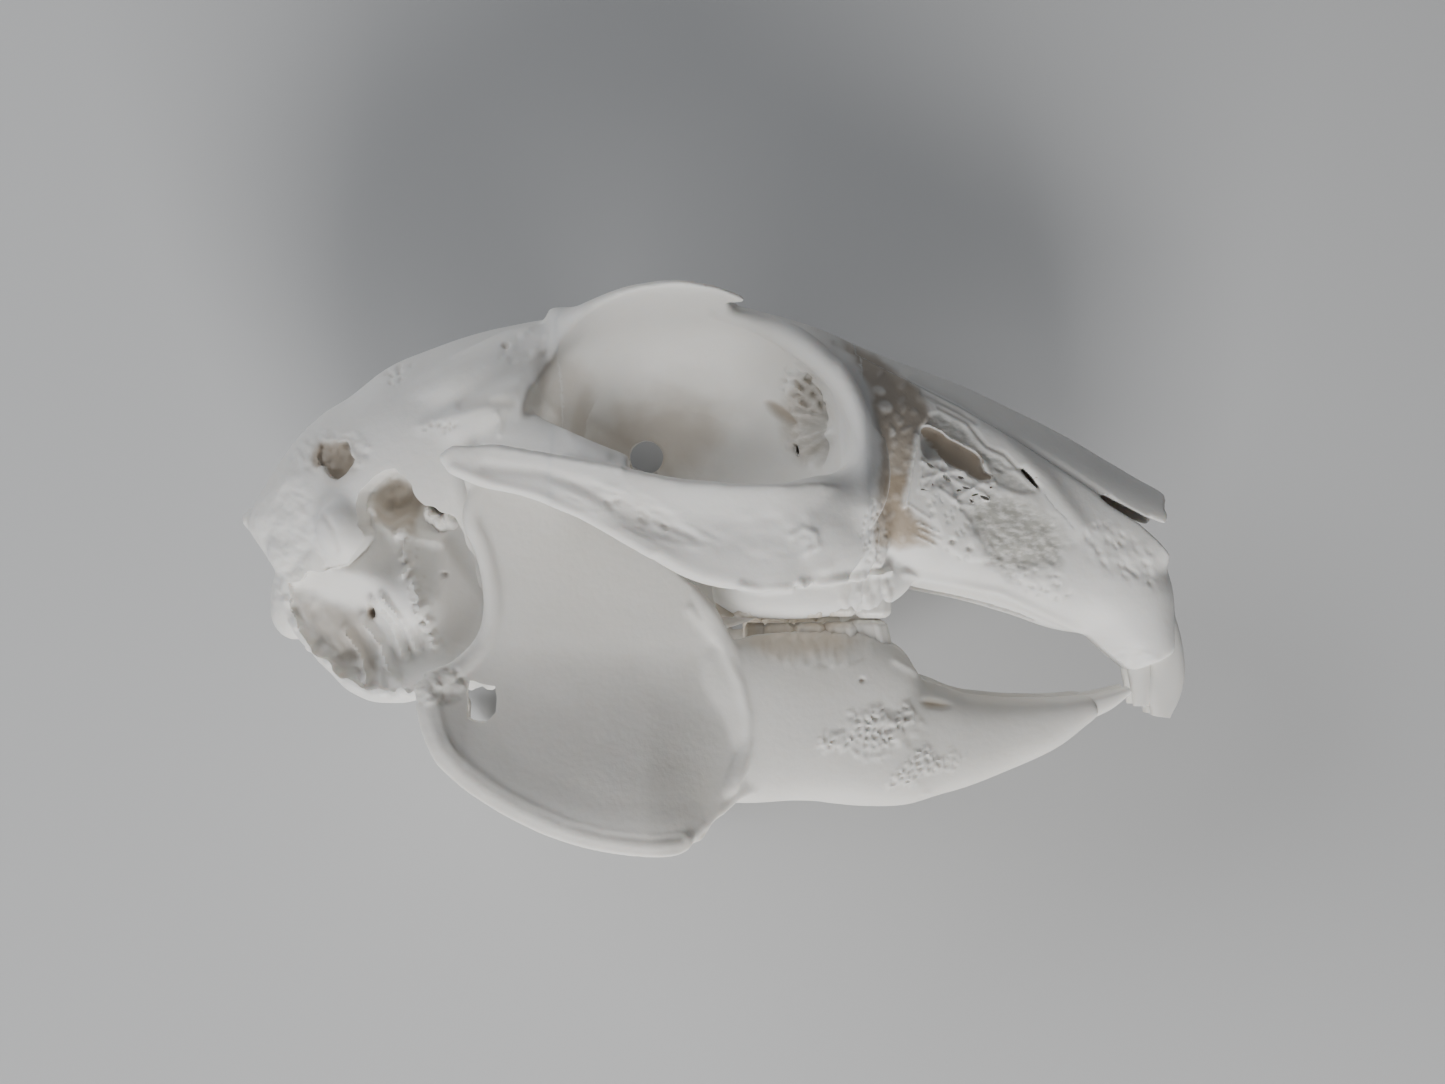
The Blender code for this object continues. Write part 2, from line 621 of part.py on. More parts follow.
def hollows():
    """The brain case, the nose and every opening into them."""
    cutters = [
        body_loft("brain", BRAIN),
        body_loft("nose", NOSE),
        prism("nostril", NOSTRIL, -12, 12),
        prism("nasal_tip", NASAL_TIP, -12, 12),
        sweep("great_hole", [
            (-47.0, -4.6, 0, 3.8, 4.0), (-41.0, -3.6, 0, 3.7, 4.0), (-35.0, -0.6, 0, 3.6, 4.2),
        ]),
        sweep("throat", [
            (-9.0, -9.6, 0, 2.0, 2.6), (-3.0, -5.4, 0, 2.2, 2.6), (3.0, -1.6, 0, 1.9, 2.4),
            (10.0, 2.0, 0, 2.0, 2.4), (19.0, 4.0, 0, 2.0, 2.4),
        ]),
        prism("optic_hole", circle(*OPTIC_HOLE), -3, 3),
        prism("ear_window", EAR_WINDOW, 6.5, 22),
        prism("mastoid_window", MASTOID_WINDOW, 5.0, 22),
        prism("ear_canal", circle(*EAR_CANAL), -18, -8),
    ]
    for side in (RIGHT, LEFT):
        cutters += [
            on_wall(FACE_WINDOW, FACE_WINDOW_DEPTH, side),
            on_wall(FACE_SLIT, FACE_SLIT_DEPTH, side),
            lump("palate_slot", (20.5, -5.4, 2.3), (9.5, 5.2, 1.5), side),
        ]
    return cutters


def tooth_row(side, upper):
    """The cheek teeth of one side and one jaw, from the front tooth back."""
    sizes = UPPER_TEETH if upper else LOWER_TEETH
    root = UPPER_ROOT if upper else LOWER_ROOT
    row_out = ROW_OUT_UPPER if upper else ROW_OUT_LOWER
    teeth = []
    for i, (x, half_length, half_width) in enumerate(sizes):
        worn = 0.05 * (i % 2)  # neighbouring teeth are worn unlike
        crown = BITE + 0.15 + worn if upper else BITE - 0.17 - worn
        z = row_out - ROW_CURVE * (x - 4.0) ** 2
        lift = FRONT_LIFT * smooth_step(x, 9.0, 14.0)
        stations = [
            (x, root + lift, z, half_length * 0.94, half_width * 0.94),
            (x, crown + lift, z, half_length, half_width),
        ]
        teeth.append(sweep("tooth", stations, side, steps=1, count=10, power=3))
    return teeth


def upper_incisors(side):
    """One long front tooth and the small peg tooth behind it."""
    front = [
        (38.6, -2.4, INCISOR_OUT, 1.5, 1.3), (41.0, -7.4, INCISOR_OUT, 1.5, 1.35),
        (41.9, -11.6, INCISOR_OUT, 1.5, 1.35), (41.6, -14.2, INCISOR_OUT, 1.35, 1.3),
        (41.2, -16.4, INCISOR_OUT, 0.55, 1.25),
    ]
    peg = [(38.6, -8.6, 1.5, 0.8, 0.8), (39.2, -12.4, 1.5, 0.75, 0.75), (39.3, -15.2, 1.5, 0.5, 0.6)]
    return [
        sweep("incisor", front, side, steps=1, count=10, power=2.8),
        sweep("peg_tooth", peg, side, steps=1, count=6),
    ]


def jaw_side(x, y):
    """How far out from the midline the jaw's plate lies at this place in the side view."""
    base = float(np.interp(x, *zip(*JAW_STANDS_OUT)))
    return base + JAW_FLARE * smooth_step(-y, 9.0, 26.0) * smooth_step(-x, -4.0, 7.0)


def jaw(name, side):
    """One half of the lower jaw with its teeth."""
    half = JAW_PLATE_THICKNESS / 2
    plate = remesh(prism("plate", JAW_OUTLINE, -half, half), 0.45)
    bend(plate, lambda x, y, z: (0, 0, side * jaw_side(x, y)))

    def along(points, depth, width, out=0.0):
        return [(x, y, jaw_side(x, y) + out, depth, width) for x, y in points]

    back_rim = along([
        (-21.2, 5.1), (-21.9, 2.1), (-20.9, -0.5), (-20.2, -3.5), (-20.1, -6.3), (-20.9, -8.9),
        (-23.0, -11.1), (-25.4, -12.1),
    ], 0.9, 1.0)
    low_rim = along(
        [
            (-25.6, -12.1), (-25.1, -15.2), (-24.0, -17.8), (-22.3, -19.6), (-20.0, -21.3),
            (-17.0, -23.0), (-13.6, -24.5), (-10.2, -25.5), (-6.2, -26.1), (-3.2, -26.1),
            (-1.8, -25.0), (0.4, -23.4),
        ],
        1.0,
        0.95,
    )
    ridge = along([
        (-2.6, -4.3), (-0.9, -7.3), (0.5, -10.0), (1.2, -13.0), (1.4, -15.8), (1.0, -19.1),
        (-0.4, -22.4),
    ], 0.8, 0.8, 0.6)
    things = [
        plate,
        sweep("back_rim", back_rim, side),
        sweep("low_rim", low_rim, side),
        sweep("ridge", ridge, side),
        sweep(
            "body",
            [
                (-3.5, -15.0, 11.4, 6.0, 1.2),
                (1.0, -16.3, 9.8, 6.9, 2.4),
                (6.0, -16.2, 8.2, 7.2, 3.2),
                (11.0, -16.5, 6.9, 7.4, 3.3),
                (15.4, -17.2, 5.7, 6.8, 3.1),
                (18.6, -18.6, 4.6, 5.4, 2.9),
                (22.0, -18.4, 3.6, 4.6, 2.8),
                (26.0, -17.9, 2.9, 3.6, 2.6),
                (30.0, -17.1, 2.5, 2.7, 2.3),
                (33.0, -16.0, 2.2, 1.75, 2.0),
                (35.0, -15.3, 1.9, 1.15, 1.6),
            ],
            side,
            power=2.5,
        ),
        sweep("condyle", [
            (-22.6, 5.2, 14.6, 0.9, 1.0), (-20.6, 5.7, 14.5, 1.0, 1.4),
            (-17.8, 5.3, 14.2, 0.9, 1.0),
        ], side),
    ]
    bone = fuse(name, things, 3)
    hole = prism("jaw_hole", JAW_HOLE, 8, 24, side)
    midline = block("midline", (20, -15, -10 * side), (60, 40, 20 + GAP))
    cut(bone, [hole, midline], solver="MANIFOLD")
    thin_out(keep_largest(bone), JAW_TRIANGLES)
    incisor = sweep("incisor", [
        (28.0, -17.2, 1.8, 1.3, 1.25), (33.0, -15.9, 1.8, 1.2, 1.25), (36.0, -15.0, INCISOR_OUT, 0.9, 1.2),
        (38.2, -13.9, 1.7, 0.35, 1.1),
    ], side, steps=1, count=10, power=2.8)
    combine(bone, tooth_row(side, upper=False) + [incisor])
    return keep_largest(bone)


def bulla(side, swell=0.0):
    """The bubble of the middle ear with its upright tube."""
    shell = [
        lump("bulla", (-28.6, -6.8, 8.4), (6.4 + swell, 6.6 + swell, 4.2 + swell), side, (0, 0, 18)),
        sweep("ear_tube", [
            (-28.6, -3.0, 10.4, 2.7 + swell, 2.0 + swell),
            (-30.6, 1.6, 12.4, 2.4 + swell, 1.9 + swell),
            (-32.4, 6.2, 13.6, 2.1 + swell, 1.8 + swell),
        ], side),
    ]
    return shell


def knife(name, line, low, high):
    """A blade as thick as the gap, along a line in the side view."""
    points = [Vector(point) for point in line]
    edges = []
    for i, point in enumerate(points):
        before = (point - points[i - 1]).normalized() if i else None
        after = (points[i + 1] - point).normalized() if i + 1 < len(points) else None
        along = ((before or after) + (after or before)).normalized()
        normal = Vector((-along.y, along.x))
        lean = normal.dot(Vector((-(after or before).y, (after or before).x)))
        edges.append((point + normal * GAP / 2 / lean, point - normal * GAP / 2 / lean))
    outline = [tuple(edge[0]) for edge in edges] + [tuple(edge[1]) for edge in reversed(edges)]
    return prism(name, outline, low, high)


def knives():
    """Every blade that parts the upper skull."""
    reach = ARCH_CUT - GAP / 2 - 0.01
    beside_nose = [(12.25, 17.15), (12.25, 40), (60, 40), (60, -40), (21.65, -40)] + SNOUT_CUT[-2::-1]
    return [
        knife("nape_cut", NAPE_CUT, -reach, reach),
        knife("crown_cut", CROWN_CUT, -reach, reach),
        knife("roof_cut", ROOF_CUT, -reach, reach),
        knife("palate_cut", PALATE_CUT, -reach, reach),
        knife("nasal_cut", NASAL_CUT, -reach, reach),
        knife("snout_cut", SNOUT_CUT, -reach, reach),
        block("arch_cut", (0, 5, ARCH_CUT), (120, 60, GAP)),
        block("arch_cut", (0, 5, -ARCH_CUT), (120, 60, GAP)),
        prism("nose_cut", beside_nose, -GAP / 2, GAP / 2),
    ]


def upper_skull():
    """The upper skull, modelled whole and then parted into its bones."""
    whole = fuse("trunk", trunk_masses(), 2)
    cut(whole, [socket(RIGHT), socket(LEFT)], solver="MANIFOLD")
    whole = fuse("skull", [whole] + limb_masses(RIGHT) + limb_masses(LEFT), 3)
    for cutter in hollows():
        cut(whole, [cutter], solver="MANIFOLD")
    whole = fuse("skull", [whole, lump("inner_ear", (-30.5, -0.5, -8.6), (4.6, 4.8, 3.4))], 3)
    keep_largest(whole)
    thin_out(whole, BONE_TRIANGLES)
    for mass in bulla(LEFT, GAP):
        cut(whole, [mass])
    for blade in knives():
        cut(whole, [blade])
    pieces = [piece for piece in closed_pieces(whole) if piece[0] > SMALLEST_BONE]
    bones = []
    for name, seat in BONES.items():
        nearest = min(pieces, key=lambda piece: (piece[1] - Vector(seat)).length)
        bones.append(keep_piece(fresh_copy(whole, name), nearest[2]))
    bpy.data.objects.remove(whole)
    return bones


def add_teeth(bones):
    """Joins the upper teeth to the bones that hold them."""
    for bone in bones:
        if bone.name == "maxilla":
            combine(bone, tooth_row(RIGHT, True) + tooth_row(LEFT, True))
        elif bone.name.startswith("premaxilla"):
            combine(bone, upper_incisors(RIGHT if bone.name.endswith("right") else LEFT))


def rest(bones):
    """How the skull turns and moves when it lies down on its left side, as a matrix.

    It comes to rest on the face of its convex hull that its centre of mass stands over.
    """
    volume, moment = 0.0, Vector()
    hull = bmesh.new()
    for bone in bones:
        for part, middle, _ in closed_pieces(bone):
            volume += part
            moment += part * middle * MM
        for vertex in bone.data.vertices:
            hull.verts.new(vertex.co)
    centre = moment / volume
    bmesh.ops.convex_hull(hull, input=hull.verts)
    hull.normal_update()
    down = None
    for face in hull.faces:
        outward = face.normal.dot(face.calc_center_median() - centre) > 0
        normal = face.normal if outward else -face.normal
        foot = centre + normal * normal.dot(face.verts[0].co - centre)
        if normal.z < -0.9 and bmesh.geometry.intersect_face_point(face, foot):
            down = normal
    turn = down.rotation_difference(Vector((0, 0, -1))).to_matrix().to_4x4()
    points = [turn @ vertex.co for bone in bones for vertex in bone.data.vertices]
    hull.free()
    low = Vector([min(point[i] for point in points) for i in range(3)])
    high = Vector([max(point[i] for point in points) for i in range(3)])
    middle = (low + high) / 2
    return Matrix.Translation((-middle.x, -middle.y, -low.z)) @ turn


def dress(bone):
    """Shades the bone smooth and gives it its material."""
    bone.data.shade_smooth()
    bone.data.set_sharp_from_angle(angle=math.radians(40))
    material = bpy.data.materials.new(bone.name)
    material.use_nodes = True
    shader = material.node_tree.nodes["Principled BSDF"]
    tint = TINTS.get(bone.name, 1.0)
    red, green, blue = BONE_WHITE
    shader.inputs["Base Color"].default_value = (red, green * tint**0.5, blue * tint, 1)
    shader.inputs["Roughness"].default_value = 0.62
    shader.inputs["Metallic"].default_value = 0.0
    bone.data.materials.clear()
    bone.data.materials.append(material)


def main():
    """Clears the scene, builds every bone and lays the skull down."""
    for thing in list(bpy.data.objects):
        bpy.data.objects.remove(thing)
    bones = upper_skull()
    add_teeth(bones)
    bones += [jaw("mandible_right", RIGHT), jaw("mandible_left", LEFT)]
    ear = fuse("tympanic_bulla_left", bulla(LEFT), 2, CUTTER_VOXEL)
    bones.append(thin_out(ear, EAR_TRIANGLES))
    skull = bpy.data.collections.new("rabbit_skull")
    bpy.context.scene.collection.children.link(skull)
    seat = bpy.data.objects.new("rabbit_skull", None)
    seat.matrix_world = rest(bones)
    skull.objects.link(seat)
    for bone in bones:
        dress(bone)
        bone.parent = seat
        bpy.context.scene.collection.objects.unlink(bone)
        skull.objects.link(bone)
    bpy.context.view_layer.update()


main()
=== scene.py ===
"""The looks of a rabbit skull that lies on its left side.

The skull is drawn upright in its own millimetres: x towards the nose, y towards the roof and z
towards the animal's right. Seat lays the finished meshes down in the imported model's frame.
"""

import itertools
import logging
import math
from collections.abc import Callable, Sequence
from dataclasses import KW_ONLY, dataclass, field
from enum import Enum

import bmesh
import bpy
import numpy as np
from mathutils import Euler, Matrix, Vector

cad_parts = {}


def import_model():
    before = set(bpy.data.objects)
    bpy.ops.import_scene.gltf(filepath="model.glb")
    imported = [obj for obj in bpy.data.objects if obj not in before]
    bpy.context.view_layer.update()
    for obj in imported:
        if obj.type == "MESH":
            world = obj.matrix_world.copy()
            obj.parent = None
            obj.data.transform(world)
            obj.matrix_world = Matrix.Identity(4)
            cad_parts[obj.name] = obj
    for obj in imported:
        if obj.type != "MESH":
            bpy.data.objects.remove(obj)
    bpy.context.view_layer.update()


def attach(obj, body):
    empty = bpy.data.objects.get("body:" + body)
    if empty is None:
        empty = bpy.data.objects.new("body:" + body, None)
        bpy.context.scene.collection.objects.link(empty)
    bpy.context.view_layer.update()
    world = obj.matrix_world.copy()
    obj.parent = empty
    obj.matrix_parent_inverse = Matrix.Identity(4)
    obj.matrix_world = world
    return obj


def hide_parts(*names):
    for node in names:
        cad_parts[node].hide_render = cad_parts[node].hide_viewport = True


LOG = logging.getLogger("rabbit_skull")
MM = 0.001
EYE = 190.0  # millimetres from the skull's midplane to the camera

Point = tuple[float, ...]
Path = Sequence[Point]
Thing = bpy.types.Object
Socket = bpy.types.NodeSocket
Values = dict[str | int, float | Point | Socket]
Shift = Callable[[np.ndarray], np.ndarray]  # from rows of x, y and z to how far each row moves


class Side(Enum):
    """The animal's right side faces the camera and its left side faces the floor."""

    RIGHT = 1
    LEFT = -1

    @property
    def tag(self) -> str:
        """The side as the end of a name."""
        return self.name.lower()


class Slot(Enum):
    """The record's material slots."""

    BONE = "bone"
    ROUGH = "rough_bone"
    JAW = "jaw_bone"


@dataclass(frozen=True)
class Seat:
    """How the upright skull lies on the floor."""

    down: Point = (0.02234, -0.04754, -0.99862)  # the upright skull's direction that ends up lowest
    offset: Point = (0.80, 2.17, 20.88)

    def matrix(self) -> Matrix:
        """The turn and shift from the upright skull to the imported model, in metres."""
        turn = Vector(self.down).rotation_difference(Vector((0, 0, -1))).to_matrix().to_4x4()
        return Matrix.Translation(Vector(self.offset) * MM) @ turn


@dataclass(frozen=True)
class Fineness:
    """How fine the bone is: voxels in millimetres, rounds of smoothing and a piece's most triangles."""

    bone: float = 0.30
    skin: float = 0.20
    jaw_body: float = 0.35
    block: float = 0.40
    recess: float = 0.25
    trunk_rounds: int = 6
    skull_rounds: int = 8
    inside_rounds: int = 2
    block_rounds: int = 20
    jaw_rounds: int = 10
    jaw_body_rounds: int = 26
    most_triangles: int = 190_000


def in_metres(point: Point) -> Vector:
    """A point in the skull's millimetres as a vector in metres."""
    return Vector(point) * MM


def smooth_step(value: np.ndarray | float, low: float, high: float) -> np.ndarray:
    """0 below low, 1 above high and an S-shaped rise between them."""
    t = np.clip((np.asarray(value, float) - low) / (high - low), 0.0, 1.0)
    return t * t * (3 - 2 * t)


def fair(stations: Path, steps: int) -> np.ndarray:
    """Points on one smooth curve through the stations.

    Args:
        stations: Rows of numbers that the curve passes through.
        steps: Points from one station to the next.

    Returns:
        One row for each point of the curve.
    """
    table = np.array(stations, float)
    ends = np.vstack([2 * table[0] - table[1], table, 2 * table[-1] - table[-2]])
    rows = []
    for i in range(1, len(ends) - 2):
        before, start, stop, after = ends[i - 1 : i + 3]
        for t in np.arange(steps) / steps:
            rows.append(
                start
                + 0.5 * t * (stop - before)
                + t * t * (before - 2.5 * start + 2 * stop - 0.5 * after)
                + t * t * t * (1.5 * (start - stop) + 0.5 * (after - before))
            )
    rows.append(table[-1])
    return np.array(rows)


def rounded(angle: float, power: float) -> Point:
    """A point of a superellipse of radius 1.

    Args:
        angle: The angle's place on the curve, in radians.
        power: 2 for a circle, and more towards a square.

    Returns:
        The point across and up.
    """
    across, up = math.cos(angle), math.sin(angle)
    return tuple(math.copysign(abs(part) ** (2 / power), part) for part in (across, up))


def linked(name: str, data: bpy.types.ID) -> Thing:
    """Puts a new object in the scene.

    Args:
        name: Name of the object.
        data: The mesh, lamp or camera that it shows.

    Returns:
        The object.
    """
    thing = bpy.data.objects.new(name, data)
    bpy.context.scene.collection.objects.link(thing)
    return thing


def finished(name: str, mesh: bmesh.types.BMesh) -> Thing:
    """An object for a bmesh, with its faces turned outwards.

    Args:
        name: Name of the object.
        mesh: The shape, which is freed.

    Returns:
        The object, linked to the scene.
    """
    bmesh.ops.recalc_face_normals(mesh, faces=mesh.faces)
    data = bpy.data.meshes.new(name)
    mesh.to_mesh(data)
    mesh.free()
    return linked(name, data)


def loft(name: str, rings: list[Path]) -> Thing:
    """A closed skin through rings that all have the same number of points.

    Args:
        name: Name of the object.
        rings: The sections, from one end to the other.

    Returns:
        The object, with a flat cap at each end.
    """
    mesh = bmesh.new()
    first = bmesh.ops.create_circle(mesh, cap_ends=True, segments=len(rings[0]), radius=1)["verts"]
    for vertex, point in zip(first, rings[0]):
        vertex.co = in_metres(point)
    row = list(first)
    rim = {edge for vertex in row for edge in vertex.link_edges}
    for ring in rings[1:]:
        made = bmesh.ops.extrude_edge_only(mesh, edges=list(rim))["geom"]
        fresh = {item for item in made if isinstance(item, bmesh.types.BMVert)}
        above = []
        for vertex in row:
            ends = (edge.other_vert(vertex) for edge in vertex.link_edges)
            above.append(next(end for end in ends if end in fresh))
        for vertex, point in zip(above, ring):
            vertex.co = in_metres(point)
        row = above
        rim = {item for item in made if isinstance(item, bmesh.types.BMEdge)}
        rim = {edge for edge in rim if edge.verts[0] in fresh and edge.verts[1] in fresh}
    bmesh.ops.edgeloop_fill(mesh, edges=list(rim))
    return finished(name, mesh)


def body_loft(name: str, stations: Path, steps: int = 6, count: int = 64) -> Thing:
    """A loft along x through superellipses.

    Args:
        name: Name of the object.
        stations: Rows of x, top, bottom, half width, belly, roof power and floor power, where belly
            is how far up the widest level lies, from 0 to 1.
        steps: Rings from one station to the next.
        count: Points of a ring.

    Returns:
        The closed skin.
    """
    rings = []
    for x, top, bottom, half, belly, roof, floor in fair(stations, steps):
        middle = bottom + belly * (top - bottom)
        ring = []
        for i in range(count):
            angle = 2 * math.pi * (i + 0.5) / count
            upper = angle < math.pi
            across, up = rounded(angle, roof if upper else floor)
            reach = top - middle if upper else middle - bottom
            ring.append((x, middle + up * reach, half * across))
        rings.append(ring)
    return loft(name, rings)


def sweep(
    name: str,
    stations: Path,
    side: Side = Side.RIGHT,
    power: float = 2.0,
    steps: int = 6,
    count: int = 24,
) -> Thing:
    """A tapering limb of bone along a smooth path.

    Args:
        name: Name of the object.
        stations: Rows of x, y, z, depth and width: the half sizes of the section in the plane of the
            side view and across it.
        side: Side of the skull that the limb is on.
        power: Roundness of the section, from 2, an ellipse, towards a box.
        steps: Rings from one station to the next.
        count: Points of a ring.

    Returns:
        The closed limb.
    """
    rows = fair(stations, steps)
    rings = []
    for i, (x, y, z, depth, width) in enumerate(rows):
        along = Vector(rows[min(i + 1, len(rows) - 1)][:3] - rows[max(i - 1, 0)][:3]).normalized()
        across = (Vector((0, 0, 1)) - along * along.z).normalized()
        upward = across.cross(along)
        ring = []
        for k in range(count):
            a, b = rounded(2 * math.pi * k / count, power)
            point = Vector((x, y, z)) + across * (a * width) + upward * (b * depth)
            ring.append((point.x, point.y, point.z * side.value))
        rings.append(ring)
    return loft(name, rings)


def sweeps(paths: dict[str, Path], side: Side = Side.RIGHT, power: float = 2.0) -> list[Thing]:
    """One sweep for each named path, all on one side and with one section."""
    return [sweep(name, stations, side, power) for name, stations in paths.items()]


def lump(
    name: str, centre: Point, radii: Point, side: Side = Side.RIGHT, turn: Point = (0, 0, 0)
) -> Thing:
    """An ellipsoid.

    Args:
        name: Name of the object.
        centre: Its middle, on the right side.
        radii: Half its size along x, y and z before it is turned.
        side: The side that it is mirrored to.
        turn: Degrees about x, y and z.

    Returns:
        The closed ellipsoid.
    """
    mesh = bmesh.new()
    bmesh.ops.create_uvsphere(mesh, u_segments=40, v_segments=24, radius=1)
    spin = Euler([math.radians(degrees) for degrees in turn])
    place = Matrix.LocRotScale(in_metres(centre), spin, in_metres(radii))
    bmesh.ops.transform(mesh, matrix=place, verts=mesh.verts)
    bmesh.ops.transform(mesh, matrix=Matrix.Diagonal((1, 1, side.value, 1)), verts=mesh.verts)
    return finished(name, mesh)


def prism(name: str, outline: Path, low: float, high: float, side: Side = Side.RIGHT) -> Thing:
    """An outline in the side view, carried straight across the skull.

    Args:
        name: Name of the object.
        outline: Its corners, as x and y.
        low: Where it starts, out from the midline.
        high: Where it ends.
        side: The side that low and high are measured on.

    Returns:
        The closed block.
    """
    mesh = bmesh.new()
    rim = [mesh.verts.new(in_metres((x, y, low * side.value))) for x, y in outline]
    edges = [mesh.edges.new(pair) for pair in zip(rim, rim[1:] + rim[:1])]
    face = bmesh.ops.edgeloop_fill(mesh, edges=edges)["faces"]
    moved = bmesh.ops.extrude_face_region(mesh, geom=face)["geom"]
    corners = [item for item in moved if isinstance(item, bmesh.types.BMVert)]
    bmesh.ops.translate(mesh, verts=corners, vec=(0, 0, (high - low) * side.value * MM))
    return finished(name, mesh)


def slab(low: float, high: float, reach: float = 60, half: float = 40) -> Thing:
    """A block that covers the whole skull from x low to x high."""
    rim = [(low, -reach), (high, -reach), (high, reach), (low, reach)]
    return prism("slab", rim, -half, half)


def apply_modifiers(thing: Thing) -> Thing:
    """Puts the object's evaluated mesh in the place of its own.

    Args:
        thing: An object with modifiers, which go.

    Returns:
        The same object.
    """
    graph = bpy.context.evaluated_depsgraph_get()
    data = bpy.data.meshes.new_from_object(thing.evaluated_get(graph))
    thing.modifiers.clear()
    thing.data = data
    return thing


def remesh(thing: Thing, voxel: float, smoothing: int = 0) -> Thing:
    """Makes one skin over everything in the mesh.

    Args:
        thing: The object.
        voxel: Size of the skin's faces, in millimetres.
        smoothing: Rounds of smoothing that follow.

    Returns:
        The same object.
    """
    cover = thing.modifiers.new("skin", "REMESH")
    cover.mode = "VOXEL"
    cover.voxel_size = voxel * MM
    if smoothing:
        soften = thing.modifiers.new("soften", "SMOOTH")
        soften.factor = 0.5
        soften.iterations = smoothing
    return apply_modifiers(thing)


def joined(name: str, things: list[Thing]) -> Thing:
    """Puts several objects in one mesh, each whole as it is.

    Args:
        name: Name of the new object.
        things: The objects, which are removed.

    Returns:
        The new object.
    """
    mesh = bmesh.new()
    for thing in things:
        mesh.from_mesh(thing.data)
        bpy.data.objects.remove(thing)
    return finished(name, mesh)


def fuse(name: str, things: list[Thing], voxel: float, smoothing: int) -> Thing:
    """Several objects made one skin."""
    return remesh(joined(name, things), voxel, smoothing)


def cut(thing: Thing, cutters: list[Thing]) -> Thing:
    """Takes cutters out of an object, one after the other.

    Args:
        thing: The object to cut.
        cutters: Closed objects, which are removed.

    Returns:
        The same object.
    """
    for cutter in cutters:
        knife = thing.modifiers.new("cut", "BOOLEAN")
        knife.operation = "DIFFERENCE"
        knife.solver = "MANIFOLD"
        knife.object = cutter
        apply_modifiers(thing)
        bpy.data.objects.remove(cutter)
    return thing


def thin_out(thing: Thing, triangles: int) -> Thing:
    """Takes triangles away where the surface is flat.

    Args:
        thing: The object.
        triangles: How many may stay.

    Returns:
        The same object.
    """
    thing.data.calc_loop_triangles()
    now = len(thing.data.loop_triangles)
    if now <= triangles:
        return thing
    fewer = thing.modifiers.new("fewer", "DECIMATE")
    fewer.ratio = triangles / now
    return apply_modifiers(thing)


def vectors(items: bpy.types.bpy_prop_collection, name: str) -> np.ndarray:
    """One vector of each item, as rows.

    Args:
        items: Vertices or the like.
        name: The attribute that holds the vector.

    Returns:
        A row for each item.
    """
    flat = np.empty(len(items) * 3)
    items.foreach_get(name, flat)
    return flat.reshape(-1, 3)


def bend(thing: Thing, shift: Shift) -> Thing:
    """Moves an object's mesh.

    Args:
        thing: The object.
        shift: Says how far each point moves, in millimetres.

    Returns:
        The same object.
    """
    data = thing.data
    points = vectors(data.vertices, "co") / MM
    data.vertices.foreach_set("co", ((points + shift(points)) * MM).ravel())
    data.update()
    return thing


def columns(*values: np.ndarray | float) -> np.ndarray:
    """Columns side by side, where a plain number fills its column."""
    return np.stack(np.broadcast_arrays(*values), axis=1)


def islands(thing: Thing) -> list[set[int]]:
    """Finds the separate surfaces of an object.

    Args:
        thing: The object.

    Returns:
        The vertices of each surface, largest first.
    """
    mesh = bmesh.new()
    mesh.from_mesh(thing.data)
    seen: set[int] = set()
    found = []
    for start in mesh.verts:
        if start.index in seen:
            continue
        seen.add(start.index)
        queue, island = [start], set()
        while queue:
            vertex = queue.pop()
            island.add(vertex.index)
            for edge in vertex.link_edges:
                other = edge.other_vert(vertex)
                if other.index not in seen:
                    seen.add(other.index)
                    queue.append(other)
        found.append(island)
    mesh.free()
    return sorted(found, key=len, reverse=True)


def keep(thing: Thing, island: set[int]) -> Thing:
    """Deletes all of an object but some of its vertices.

    Args:
        thing: The object.
        island: Indices of the vertices that stay.

    Returns:
        The same object.
    """
    mesh = bmesh.new()
    mesh.from_mesh(thing.data)
    gone = [vertex for vertex in mesh.verts if vertex.index not in island]
    bmesh.ops.delete(mesh, geom=gone, context="VERTS")
    mesh.to_mesh(thing.data)
    mesh.free()
    return thing


def copy_of(thing: Thing, name: str) -> Thing:
    """A second object with a mesh of its own, linked to the scene."""
    return linked(name, thing.data.copy())


def scatter(cell: np.ndarray, seed: int) -> np.ndarray:
    """Repeatable random numbers.

    Args:
        cell: Rows of whole numbers.
        seed: Another seed gives other numbers.

    Returns:
        A number from 0 to 1 for each row.
    """
    mixed = np.full(len(cell), seed * 374761393 + 668265263, np.uint64)
    for column, prime in zip(cell.T, (73856093, 19349663, 83492791)):
        mixed ^= column.astype(np.int64).astype(np.uint64) * np.uint64(prime)
        mixed = (mixed ^ (mixed >> np.uint64(13))) * np.uint64(1274126177)
    return ((mixed >> np.uint64(16)) & np.uint64(0xFFFF)).astype(float) / 65535.0


def noise(points: np.ndarray, seed: int) -> np.ndarray:
    """Smooth noise with features one unit wide.

    Args:
        points: Rows of coordinates.
        seed: Another seed gives other noise.

    Returns:
        A number from -1 to 1 for each point.
    """
    cell = np.floor(points)
    part = points - cell
    part = part * part * (3 - 2 * part)
    total = np.zeros(len(points))
    for corner in itertools.product((0, 1), repeat=points.shape[1]):
        weight = np.prod(np.where(np.array(corner) == 1, part, 1 - part), axis=1)
        total += weight * scatter(cell + corner, seed)
    return total * 2 - 1


def cloud(points: np.ndarray, size: float, seed: int, octaves: int = 3) -> np.ndarray:
    """Noise of several sizes laid over each other.

    Args:
        points: Rows of coordinates.
        size: Width of the largest features, in millimetres.
        seed: Another seed gives other noise.
        octaves: How many sizes, each half the one before.

    Returns:
        About -1 to 1 for each point.
    """
    total = np.zeros(len(points))
    for octave in range(octaves):
        total += noise(points / size * 2**octave, seed + octave) / 2**octave
    return total / 1.75


